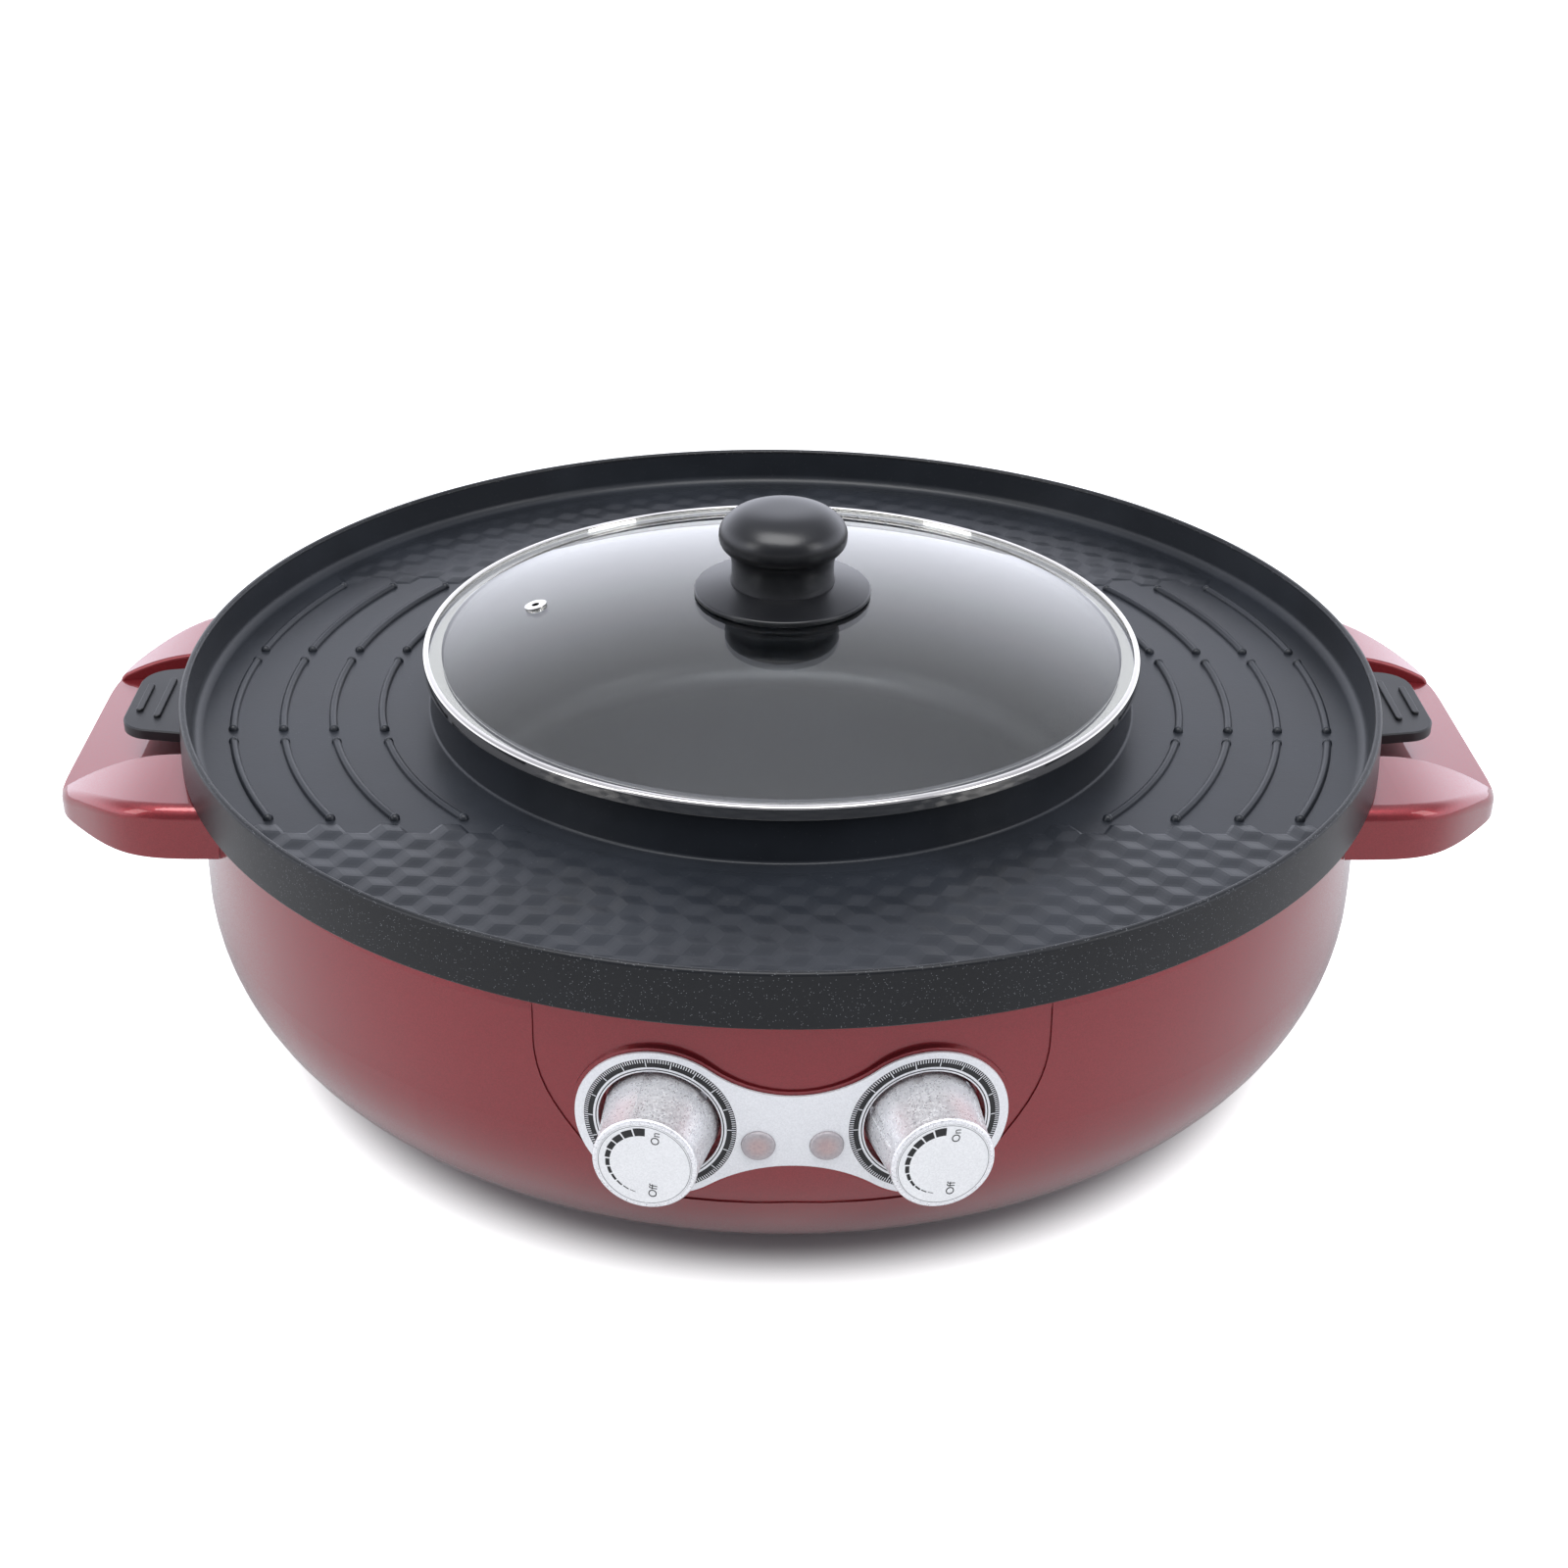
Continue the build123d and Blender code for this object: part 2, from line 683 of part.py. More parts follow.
with BuildPart() as base_shell:
    add(bowl_form(0))
    add(face_slab(), mode=Mode.SUBTRACT)
    add(control_face(face_step))
    add(bone_slab(plate_seat_margin, plate_back - bowl_wall, plate_back - seat_gap))
    # Hollow inside, open to the bottom cover and to the liner.
    add(bowl_form(bowl_wall), mode=Mode.SUBTRACT)
    with BuildSketch(Plane.XY.offset(bowl_base - cut_margin)):
        Circle(bowl_mouth)
    extrude(amount=bowl_wall + 2 * cut_margin, mode=Mode.SUBTRACT)
    add(ring_slab(bowl_lip, bowl_top_radius - bowl_wall, bowl_top - bowl_wall, bowl_top))
    with Locations((0, drain_offset, bowl_top)):
        Cylinder(chute_radius + 2 * seat_gap, 4 * bowl_wall, mode=Mode.SUBTRACT)
    # Cups behind the knobs, and the ways through for bushings and lenses.
    for side in (-1, 1):
        face = knob_plane(side)
        with BuildSketch(face.offset(-recess_depth - recess_floor)):
            Circle(recess_radius + recess_wall)
        extrude(amount=recess_depth + recess_floor - plate_thickness - bowl_wall / 2)
        with BuildSketch(face.offset(-recess_depth)):
            Circle(recess_radius)
        extrude(amount=recess_depth + bowl_wall, mode=Mode.SUBTRACT)
        with BuildSketch(face.offset(-recess_depth - recess_floor - cut_margin)):
            Circle(bushing_radius + seat_gap)
        extrude(amount=recess_floor + 2 * cut_margin, mode=Mode.SUBTRACT)
    with BuildSketch(Plane.XZ.offset(plate_back - 3 * bowl_wall)):
        with Locations((-lens_spacing / 2, lens_height), (lens_spacing / 2, lens_height)):
            Circle(lens_radius + seat_gap)
    extrude(amount=4 * bowl_wall, mode=Mode.SUBTRACT)
    # Notches for the pan ears.
    with Locations(*[(side * (bowl_lip + bowl_top_radius) / 2, 0, bowl_top) for side in (-1, 1)]):
        Box(bowl_top_radius - bowl_lip + 4 * bowl_wall, ear_root_width + 2 * ear_notch_side,
            2 * ear_notch_drop, mode=Mode.SUBTRACT)
    # Way through for the mains inlet and for the oil tray.
    with BuildSketch(radial_plane(inlet_angle, inlet_offset - inlet_depth / 2, inlet_height)):
        Rectangle(inlet_width + 2 * seat_gap, inlet_tall + 2 * seat_gap)
    extrude(amount=inlet_depth, mode=Mode.SUBTRACT)
    with BuildSketch(Plane.XZ.offset(2 * bowl_wall - tray_rear)):
        with Locations((0, tray_height + tray_depth / 2)):
            Rectangle(2 * (tray_half_width + slide_gap + guide_wall + seat_gap),
                      tray_depth + 2 * (slide_gap + guide_wall + seat_gap))
    extrude(amount=-2 * tray_end_wall - 2 * bowl_wall, mode=Mode.SUBTRACT)
    # Screw bosses of the bottom cover.
    with BuildSketch(Plane.XY.offset(bowl_base + bowl_wall / 2)):
        with PolarLocations(cover_screw_circle, cover_screws):
            Circle(cover_boss_radius)
    extrude(amount=cover_boss_height)
    with BuildSketch(Plane.XY.offset(bowl_base - cut_margin)):
        with PolarLocations(cover_screw_circle, cover_screws):
            Circle(cover_screw_radius + seat_gap)
    extrude(amount=cover_screw_length, mode=Mode.SUBTRACT)
    # Screw holes of the side handles.
    with Locations(*[
        Location((side * belly_radius, y, handle_base + handle_screw_rise), (0, 90, 0))
        for side in (-1, 1) for y in (-handle_screw_offset, handle_screw_offset)
    ]):
        Cylinder(handle_screw_radius + seat_gap, bowl_lip_width * 6, mode=Mode.SUBTRACT)


# ================================================================ side handles
def channel_cut(grow):
    """The finger channel along the top of a handle, grown outwards."""
    with BuildPart() as cut:
        with BuildSketch(Plane.XY.offset(handle_base)) as outline:
            half, tip = channel_half_width + grow, channel_tip_half_width + grow
            bend, far = handle_reach - channel_bend, handle_reach + handle_wall
            Polygon((handle_root, -half), (bend, -half), (far, -tip),
                    (far, tip), (bend, half), (handle_root, half), align=None)
            fillet([corner for corner in outline.vertices() if abs(corner.X - bend) < cut_margin],
                   channel_bend)
        extrude(amount=handle_top)
        with BuildSketch(Plane.XZ):
            slope = (channel_edge_depth - channel_root_depth) / handle_length
            root = handle_top - channel_root_depth + slope * handle_root_depth - grow
            edge = handle_top - channel_edge_depth - slope * handle_wall - grow
            Polygon((handle_root, root), (far, edge), (far, 2 * handle_top),
                    (handle_root, 2 * handle_top), align=None)
        extrude(amount=channel_half_width + handle_half_width, both=True, mode=Mode.INTERSECT)
    return cut.part


def handle_block(inset, low, edge_round):
    """The handle's outer form drawn in by inset, from the height low upwards."""
    half, reach = handle_half_width - inset, handle_reach - inset
    start, pass_x, pass_y = handle_shoulder
    with BuildPart() as block:
        with BuildSketch(Plane.XY.offset(low)):
            with BuildLine():
                curve = Spline((reach - start, half), (reach - pass_x, pass_y - inset),
                               (reach - handle_corner[0], handle_corner[1] - inset),
                               (reach, handle_tip_half_width), tangents=((1, 0), (0, -1)))
                Polyline((handle_root, 0), (handle_root, half), curve @ 0)
                Line(curve @ 1, (reach, 0))
                mirror(about=Plane.XZ)
            make_face()
        extrude(amount=handle_top)
        with BuildSketch(Plane.XZ):
            with BuildLine():
                crown = TangentArc((reach - handle_crown, handle_top - inset),
                                   (reach, handle_top - inset - handle_edge_drop), tangent=(1, 0))
                Polyline(crown @ 1, (reach, low), (handle_root, low),
                         (handle_root, handle_top - inset), crown @ 0)
            make_face()
        extrude(amount=handle_half_width, both=True, mode=Mode.INTERSECT)
        if edge_round:
            brow = handle_top - handle_edge_drop - cut_margin
            rim = [edge for edge in block.edges() if edge.center().Z > brow
                   and edge.center().X > handle_root + edge_round
                   and (abs(edge.center().Y) > edge_round or edge.center().X > reach - cut_margin)]
            fillet(rim, edge_round)
        add(channel_cut(inset), mode=Mode.SUBTRACT)
        if edge_round:
            lip = [edge for edge in block.edges() if edge.center().Z > brow + channel_root_depth
                   and abs((edge % 0.5).Z) < channel_edge_slope
                   and edge.center().X > handle_root + cut_margin
                   and abs(abs(edge.center().Y) - channel_half_width) < channel_root_depth]
            fillet(lip, channel_edge_round)
    return block.part


def handle_room():
    """The hollow under a handle, with a thick wall left against the bowl."""
    with BuildPart() as room:
        add(handle_block(handle_wall, handle_base - handle_wall, 0))
        Cylinder(bowl_top_radius + handle_root_wall, 3 * handle_top, mode=Mode.SUBTRACT)
    return room.part


def side_handle():
    """Right-hand side handle: a hollow shell that is open below."""
    with BuildPart() as handle:
        add(handle_block(0, handle_base, handle_edge_round))
        add(handle_room(), mode=Mode.SUBTRACT)
        add(bowl_form(-seat_gap), mode=Mode.SUBTRACT)
        Cylinder(bowl_top_radius + seat_gap, 3 * handle_top, mode=Mode.SUBTRACT)
        with Locations(*handle_screw_places(1)):
            Cylinder(handle_screw_radius + seat_gap, handle_screw_length + seat_gap,
                     align=(Align.CENTER, Align.CENTER, Align.MIN), mode=Mode.SUBTRACT)
    return handle.part


def handle_screw_places(side):
    """Seats of one handle's screw heads on the inside of the bowl, facing outwards."""
    outer = handle_screw_offset + screw_head_radius
    seat = sqrt((bowl_top_radius - bowl_wall) ** 2 - outer ** 2) - seat_gap
    turn = (0, 90 * side, 0)
    return [Location((side * seat, y, handle_base + handle_screw_rise), turn)
            for y in (-handle_screw_offset, handle_screw_offset)]


with BuildPart() as side_handle_right:
    add(side_handle())

with BuildPart() as side_handle_left:
    add(mirror(side_handle_right.part, about=Plane.YZ))

with BuildPart() as handle_screws:
    with Locations(*handle_screw_places(-1), *handle_screw_places(1)):
        Cylinder(handle_screw_radius, handle_screw_length,
                 align=(Align.CENTER, Align.CENTER, Align.MIN))
        Cylinder(screw_head_radius, screw_head_height,
                 align=(Align.CENTER, Align.CENTER, Align.MAX))


# ================================================================ control plate
with BuildPart() as control_plate:
    add(bone_slab(0, plate_back, plate_radius))
    for side in (-1, 1):
        with BuildSketch(knob_plane(side)):
            Circle(recess_radius - lift_gap)
        extrude(amount=bowl_wall, both=True, mode=Mode.SUBTRACT)
    with BuildSketch(Plane.XZ.offset(plate_back - 3 * plate_thickness)):
        with Locations((-lens_spacing / 2, lens_height), (lens_spacing / 2, lens_height)):
            Circle(lens_radius + seat_gap)
    extrude(amount=plate_thickness * 6, mode=Mode.SUBTRACT)


def lens_seat(side):
    """Plane behind the wall of the control face on one lens's axis, facing out."""
    reach = lens_spacing / 2 + lens_flange
    seat = sqrt((belly_radius - bowl_wall) ** 2 - reach ** 2) - face_step - seat_gap
    return Plane((side * lens_spacing / 2, -seat, lens_height), x_dir=(1, 0, 0), z_dir=(0, -1, 0))


def lamp_lens(side):
    """Round lens with a low dome, held by a flange behind the wall."""
    seat = lens_seat(side)
    with BuildPart() as lens:
        with BuildSketch(seat):
            Circle(lens_flange)
        extrude(amount=-lens_flange_height)
        with BuildSketch(seat):
            Circle(lens_radius)
        extrude(amount=plate_radius + lens_dome + seat.origin.Y)
        fillet(lens.edges().sort_by(Axis.Y)[0], lens_dome)
    return lens.part


with BuildPart() as hotpot_lamp_lens:
    add(lamp_lens(-1))

with BuildPart() as grill_lamp_lens:
    add(lamp_lens(1))

with BuildPart() as neon_lamps:
    for side in (-1, 1):
        with BuildSketch(lens_seat(side).offset(-lens_flange_height)):
            Circle(lamp_radius)
        extrude(amount=-lamp_length)


# ================================================================ thermostats and knobs
def thermostat(side):
    """Capillary thermostat behind a knob: case, threaded bushing and terminals."""
    face = knob_plane(side).offset(-recess_depth - recess_floor)
    with BuildPart() as body:
        with BuildSketch(face):
            RectangleRounded(thermostat_width, thermostat_height, thermostat_round)
        extrude(amount=-thermostat_depth)
        with BuildSketch(face):
            Circle(bushing_radius)
        extrude(amount=bushing_length)
        with BuildSketch(face.offset(bushing_length)):
            Circle(shaft_radius + shaft_gap)
        extrude(amount=-bushing_length - shaft_tail, mode=Mode.SUBTRACT)
        with BuildSketch(face.offset(-thermostat_depth)):
            with GridLocations(thermostat_width / 2, 0, 2, 1):
                Rectangle(terminal_width, terminal_thickness)
        extrude(amount=-terminal_length)
    return body.part


def knob_form(side):
    """Tapered knob with a rear skirt, a hub for the shaft and a seat for the cap."""
    face = knob_plane(side)
    tail, nose = -knob_tail, knob_length - knob_flange
    with BuildPart() as knob:
        with BuildSketch(face.offset(tail)):
            Circle(knob_base_radius)
        slope = degrees(asin((knob_base_radius - knob_nose_radius) / (nose - tail)))
        extrude(amount=nose - tail, taper=slope)
        with BuildSketch(face.offset(nose)):
            Circle(knob_flange_radius)
        extrude(amount=knob_flange)
        front = knob.faces().sort_by(Axis(face.origin, face.z_dir))[-1]
        fillet(front.edges(), knob_flange_round)
        with BuildSketch(face.offset(knob_length + cap_proud - cap_thickness)):
            Circle(cap_radius + seat_gap)
        extrude(amount=cap_thickness, mode=Mode.SUBTRACT)
        with BuildSketch(face.offset(tail)):
            Circle(knob_hollow_radius)
        extrude(amount=knob_hollow_depth, mode=Mode.SUBTRACT)
        with BuildSketch(face.offset(tail + hub_clearance)):
            Circle(knob_hub_radius)
        extrude(amount=knob_hollow_depth)
        with BuildSketch(face.offset(tail)) as socket:
            Circle(shaft_radius + seat_gap)
            with Locations((0, 2 * shaft_radius - shaft_flat + seat_gap)):
                Rectangle(4 * shaft_radius, 2 * shaft_radius, mode=Mode.SUBTRACT)
        extrude(amount=shaft_socket, mode=Mode.SUBTRACT)
        # Shallow round-ended flutes that follow the taper.
        middle = (knob_base_radius + knob_nose_radius) / 2
        for index in range(knob_flutes):
            turn = radians(flute_angle + index * 360 / knob_flutes)
            out = face.x_dir * cos(turn) + face.y_dir * sin(turn)
            along = face.z_dir * cos(radians(slope)) - out * sin(radians(slope))
            tangent_plane = Plane(face.origin + face.z_dir * (tail + nose) / 2 + out * middle,
                                  along, along.cross(face.z_dir.cross(out)))
            with BuildSketch(tangent_plane):
                SlotOverall(nose - tail - 2 * flute_margin, flute_width)
            extrude(amount=flute_depth, both=True, mode=Mode.SUBTRACT)
    return knob.part


def knob_cap(side):
    """Thin metal disc on the front of a knob."""
    with BuildPart() as cap:
        with BuildSketch(knob_plane(side).offset(knob_length + cap_proud)):
            Circle(cap_radius)
        extrude(amount=-cap_thickness)
    return cap.part


def knob_shaft(side):
    """Steel shaft with a flat, from inside the thermostat into the knob's hub."""
    face = knob_plane(side)
    low = -recess_depth - recess_floor - shaft_tail + lift_gap
    high = shaft_socket - knob_tail - lift_gap
    with BuildPart() as shaft:
        with BuildSketch(face.offset(low)):
            Circle(shaft_radius)
        extrude(amount=high - low)
        with BuildSketch(face.offset(bushing_length - recess_depth - recess_floor)):
            with Locations((0, 2 * shaft_radius - shaft_flat)):
                Rectangle(4 * shaft_radius, 2 * shaft_radius)
        extrude(amount=high - low, mode=Mode.SUBTRACT)
    return shaft.part


with BuildPart() as hotpot_thermostat:
    add(thermostat(-1))

with BuildPart() as grill_thermostat:
    add(thermostat(1))

with BuildPart() as thermostat_nuts:
    for side in (-1, 1):
        with BuildSketch(knob_plane(side).offset(-recess_depth)):
            RegularPolygon(nut_width / 2, 6, major_radius=False)
            Circle(bushing_radius + seat_gap, mode=Mode.SUBTRACT)
        extrude(amount=nut_height)

with BuildPart() as hotpot_knob:
    add(knob_form(-1))

with BuildPart() as grill_knob:
    add(knob_form(1))

with BuildPart() as hotpot_knob_cap:
    add(knob_cap(-1))

with BuildPart() as grill_knob_cap:
    add(knob_cap(1))

with BuildPart() as hotpot_shaft:
    add(knob_shaft(-1))

with BuildPart() as grill_shaft:
    add(knob_shaft(1))


# ================================================================ heat liner and heaters
def leg_places(ring_radius, height):
    """The two cold ends of a heater, where its legs stand."""
    turn = degrees(asin(heater_end_spread / 2 / ring_radius))
    return [
        (ring_radius * cos(radians(angle)), ring_radius * sin(radians(angle)), height)
        for angle in (heater_end_angle - turn, heater_end_angle + turn)
    ]


with BuildPart() as heat_liner:
    with BuildSketch(Plane.XZ):
        with BuildLine():
            flange = bowl_top + sheet
            FilletPolyline(
                (liner_flange_radius, flange), (liner_flange_radius, bowl_top),
                (liner_radius, bowl_top), (liner_radius, liner_floor_height),
                (liner_well_radius, liner_floor_height),
                (liner_well_radius, liner_floor_height + sheet),
                (liner_radius - sheet, liner_floor_height + sheet), (liner_radius - sheet, flange),
                radius=(0, 0, 0, liner_bend, 0, 0, liner_bend - sheet, 0), close=True,
            )
        make_face()
    revolve(axis=Axis.Z)
    with Locations(*[(side * (bowl_lip + bowl_top_radius) / 2, 0, bowl_top) for side in (-1, 1)]):
        Box(bowl_top_radius - bowl_lip, ear_root_width + 2 * ear_notch_side,
            2 * ear_notch_drop, mode=Mode.SUBTRACT)
    with Locations((0, drain_offset, bowl_top)):
        Cylinder(chute_radius + seat_gap, 2 * (bowl_top - liner_floor_height + liner_bend),
                 mode=Mode.SUBTRACT)
    with Locations(*leg_places(grill_heater_radius, liner_floor_height)):
        Cylinder(heater_tube + leg_hole_gap, 2 * liner_bend, mode=Mode.SUBTRACT)

with BuildPart() as pot_liner:
    with BuildSketch(Plane.XZ):
        with BuildLine():
            well, seam = liner_well_radius, liner_well_radius + liner_seam
            FilletPolyline(
                (seam, liner_floor_height), (seam, liner_floor_height - sheet),
                (well, liner_floor_height - sheet), (well, liner_well_height),
                (liner_hole, liner_well_height), (liner_hole, liner_well_height + sheet),
                (well - sheet, liner_well_height + sheet), (well - sheet, liner_floor_height),
                radius=(0, 0, sheet, liner_bend, 0, 0, liner_bend - sheet, 2 * sheet), close=True,
            )
        make_face()
    revolve(axis=Axis.Z)
    with Locations(*leg_places(pot_heater_radius, liner_well_height)):
        Cylinder(heater_tube + leg_hole_gap, 2 * liner_bend, mode=Mode.SUBTRACT)

with BuildPart() as drain_chute:
    with BuildSketch(Plane.XY.offset(chute_base)):
        with Locations((0, drain_offset)):
            Circle(chute_radius)
            Circle(chute_radius - chute_wall, mode=Mode.SUBTRACT)
    extrude(amount=chute_top - chute_base)


def heater(ring_radius, height):
    """Tubular heater: an open ring whose two ends turn down through the liner."""
    turn = degrees(asin(heater_end_spread / 2 / ring_radius))
    with BuildPart() as tube:
        with BuildLine() as path:
            ring = CenterArc((0, 0, height), ring_radius, heater_end_angle + turn, 360 - 2 * turn)
        with BuildSketch(Plane(ring @ 0, z_dir=ring % 0)):
            Circle(heater_tube)
        sweep(path=path.line)
        with Locations(*leg_places(ring_radius, height)):
            Sphere(heater_tube)
            Cylinder(heater_tube, leg_length, align=(Align.CENTER, Align.CENTER, Align.MAX))
            with Locations((0, 0, -leg_length)):
                Box(terminal_thickness, terminal_width, terminal_length,
                    align=(Align.CENTER, Align.CENTER, Align.MAX))
    return tube.part


with BuildPart() as grill_heater:
    add(heater(grill_heater_radius, grill_heater_height))

with BuildPart() as pot_heater:
    add(heater(pot_heater_radius, pot_heater_height))

with BuildPart() as heater_clips:
    # Each clip stands on the liner and holds the tube from below and from both sides.
    for ring_radius, height, floor in (
        (grill_heater_radius, grill_heater_height, liner_floor_height + sheet),
        (pot_heater_radius, pot_heater_height, liner_well_height + sheet),
    ):
        with BuildSketch(Plane.XY.offset(floor)):
            with PolarLocations(ring_radius, heater_clip_count):
                Rectangle(2 * (heater_tube + clip_cheek), clip_width)
        extrude(amount=height - floor)
        with Locations((0, 0, height)):
            Torus(ring_radius, heater_tube + seat_gap, mode=Mode.SUBTRACT)

with BuildPart() as thermal_fuse:
    low = liner_well_height - fuse_radius
    with Locations(Location((*fuse_place, low), (90, 0, 0))):
        Cylinder(fuse_radius, fuse_length)
    with Locations((*fuse_place, low)):
        Box(2 * (fuse_radius + fuse_clamp), fuse_clamp_width, fuse_radius + fuse_clamp,
            align=(Align.CENTER, Align.CENTER, Align.MAX))
    with Locations((*fuse_place, liner_well_height - seat_gap)):
        Box(2 * (fuse_radius + fuse_clamp), fuse_clamp_width, fuse_radius - seat_gap,
            align=(Align.CENTER, Align.CENTER, Align.MAX))
        Box(2 * (fuse_radius + fuse_clamp + fuse_clamp_ear), fuse_clamp_width, fuse_clamp,
            align=(Align.CENTER, Align.CENTER, Align.MAX))


# ================================================================ mains inlet
def inlet_plane(depth):
    """Plane of the inlet's outer face, moved inwards by depth."""
    return radial_plane(inlet_angle, inlet_offset - depth, inlet_height)


with BuildPart() as mains_inlet:
    with BuildSketch(inlet_plane(0)):
        RectangleRounded(inlet_width + 2 * inlet_flange, inlet_tall + 2 * inlet_flange, inlet_corner)
    extrude(amount=-2 * inlet_flange_thickness)
    add(bowl_form(-seat_gap), mode=Mode.SUBTRACT)
    with BuildSketch(inlet_plane(inlet_flange_thickness)):
        RectangleRounded(inlet_width, inlet_tall, inlet_corner)
    extrude(amount=-inlet_depth)
    with BuildSketch(inlet_plane(0)):
        RectangleRounded(inlet_width - 2 * inlet_wall, inlet_tall - 2 * inlet_wall,
                         inlet_corner - inlet_wall / 2)
    extrude(amount=-inlet_recess, mode=Mode.SUBTRACT)
    with BuildSketch(inlet_plane(inlet_recess)):
        with Locations(*pin_places):
            Rectangle(pin_thickness + 2 * seat_gap, pin_width + 2 * seat_gap)
    extrude(amount=-inlet_depth, mode=Mode.SUBTRACT)

with BuildPart() as inlet_pins:
    with BuildSketch(inlet_plane(inlet_recess - pin_length)):
        with Locations(*pin_places):
            Rectangle(pin_thickness, pin_width)
    extrude(amount=-pin_length - (inlet_depth + inlet_flange_thickness - inlet_recess) - pin_tail)

with BuildPart() as terminal_block:
    with BuildSketch(Plane.XY.offset(bowl_base)):
        with Locations(block_place):
            Rectangle(block_size[0], block_size[1])
    extrude(amount=block_size[2] - block_step)
    with BuildSketch(Plane.XY.offset(bowl_base)):
        with Locations(block_place):
            Rectangle(block_size[0], block_size[1] - 2 * block_step)
    extrude(amount=block_size[2])
    with BuildSketch(Plane.XY.offset(bowl_base + block_size[2])):
        with Locations(block_place):
            with GridLocations(block_size[0] / block_poles, 0, block_poles, 1):
                Circle(block_hole_radius)
    extrude(amount=-block_step, mode=Mode.SUBTRACT)


# ================================================================ bottom cover and feet
with BuildPart() as bottom_cover:
    with BuildSketch(Plane.XY.offset(cover_base)):
        Circle(cover_radius)
        with PolarLocations(cover_screw_circle, cover_screws):
            Circle(cover_screw_radius + seat_gap, mode=Mode.SUBTRACT)
        with PolarLocations(foot_circle, foot_count, start_angle=foot_start):
            Circle(foot_stem_radius + seat_gap, mode=Mode.SUBTRACT)
        with PolarLocations(vent_circle, vent_slots, start_angle=vent_start):
            SlotOverall(vent_length, vent_width, mode=Mode.SUBTRACT)
    extrude(amount=cover_thickness)
    chamfer(bottom_cover.faces().sort_by(Axis.Z)[0].outer_wire().edges(), cover_thickness / 4)

with BuildPart() as cover_screw_set:
    with BuildSketch(Plane.XY.offset(cover_base)):
        with PolarLocations(cover_screw_circle, cover_screws):
            Circle(cover_screw_head)
    extrude(amount=-cover_screw_head_height)
    with BuildSketch(Plane.XY.offset(cover_base)):
        with PolarLocations(cover_screw_circle, cover_screws):
            Circle(cover_screw_radius)
    extrude(amount=cover_screw_length)

with BuildPart() as rubber_feet:
    with BuildSketch(Plane.XY.offset(foot_height)):
        with PolarLocations(foot_circle, foot_count, start_angle=foot_start):
            Circle(foot_radius)
    extrude(amount=-foot_height, taper=degrees(asin((foot_radius - foot_tip_radius) / foot_height)))
    with BuildSketch(Plane.XY.offset(foot_height)):
        with PolarLocations(foot_circle, foot_count, start_angle=foot_start):
            Circle(foot_stem_radius)
    extrude(amount=cover_thickness + foot_stem_proud)


# ================================================================ oil tray
with BuildPart() as oil_tray_guide:
    side_room = tray_half_width + slide_gap
    end = tray_front - 2 * slide_gap
    with BuildSketch(Plane.XY.offset(tray_height - slide_gap - guide_wall)):
        Polygon((-side_room - guide_wall, end - guide_wall), (side_room + guide_wall, end - guide_wall),
                (side_room + guide_wall, belly_radius), (-side_room - guide_wall, belly_radius),
                align=None)
    extrude(amount=tray_depth + 2 * (slide_gap + guide_wall))
    with BuildSketch(Plane.XY.offset(tray_height - slide_gap)):
        Polygon((-side_room, end), (side_room, end), (side_room, 2 * belly_radius),
                (-side_room, 2 * belly_radius), align=None)
    extrude(amount=tray_depth + 2 * (slide_gap + guide_wall), mode=Mode.SUBTRACT)
    add(bowl_form(seat_gap), mode=Mode.INTERSECT)


def tray_face():
    """Front panel of the tray, curved with the bowl."""
    with BuildPart() as panel:
        with BuildSketch(Plane.XZ):
            with Locations((0, tray_height + tray_depth / 2)):
                RectangleRounded(2 * tray_face_half_width, tray_face_height, 2 * tray_wall)
        extrude(amount=-tray_face_radius)
        add(ring_slab(tray_face_radius - tray_face_thickness, tray_face_radius,
                      0, 2 * (tray_height + tray_depth)), mode=Mode.INTERSECT)
    return panel.part


with BuildPart() as oil_tray:
    with BuildSketch(Plane.XY.offset(tray_height)) as floor_plan:
        Circle(tray_face_radius - tray_face_thickness / 2)
        with Locations((0, tray_front)):
            Rectangle(2 * tray_half_width, belly_radius, align=(Align.CENTER, Align.MIN),
                      mode=Mode.INTERSECT)
    extrude(amount=tray_depth)
    add(tray_face())
    with BuildSketch(Plane.XY.offset(tray_height + tray_wall)):
        with Locations((0, tray_front + tray_wall)):
            Rectangle(2 * (tray_half_width - tray_wall), tray_rear - tray_front - tray_wall,
                      align=(Align.CENTER, Align.MIN))
    extrude(amount=tray_depth, mode=Mode.SUBTRACT)
    pull_width, pull_height, pull_depth = tray_pull
    with BuildSketch(Plane.XZ.offset(pull_depth - tray_face_radius)):
        with Locations((0, tray_height + tray_depth / 2)):
            RectangleRounded(pull_width, pull_height, pull_height / 3)
    extrude(amount=-2 * pull_depth, mode=Mode.SUBTRACT)


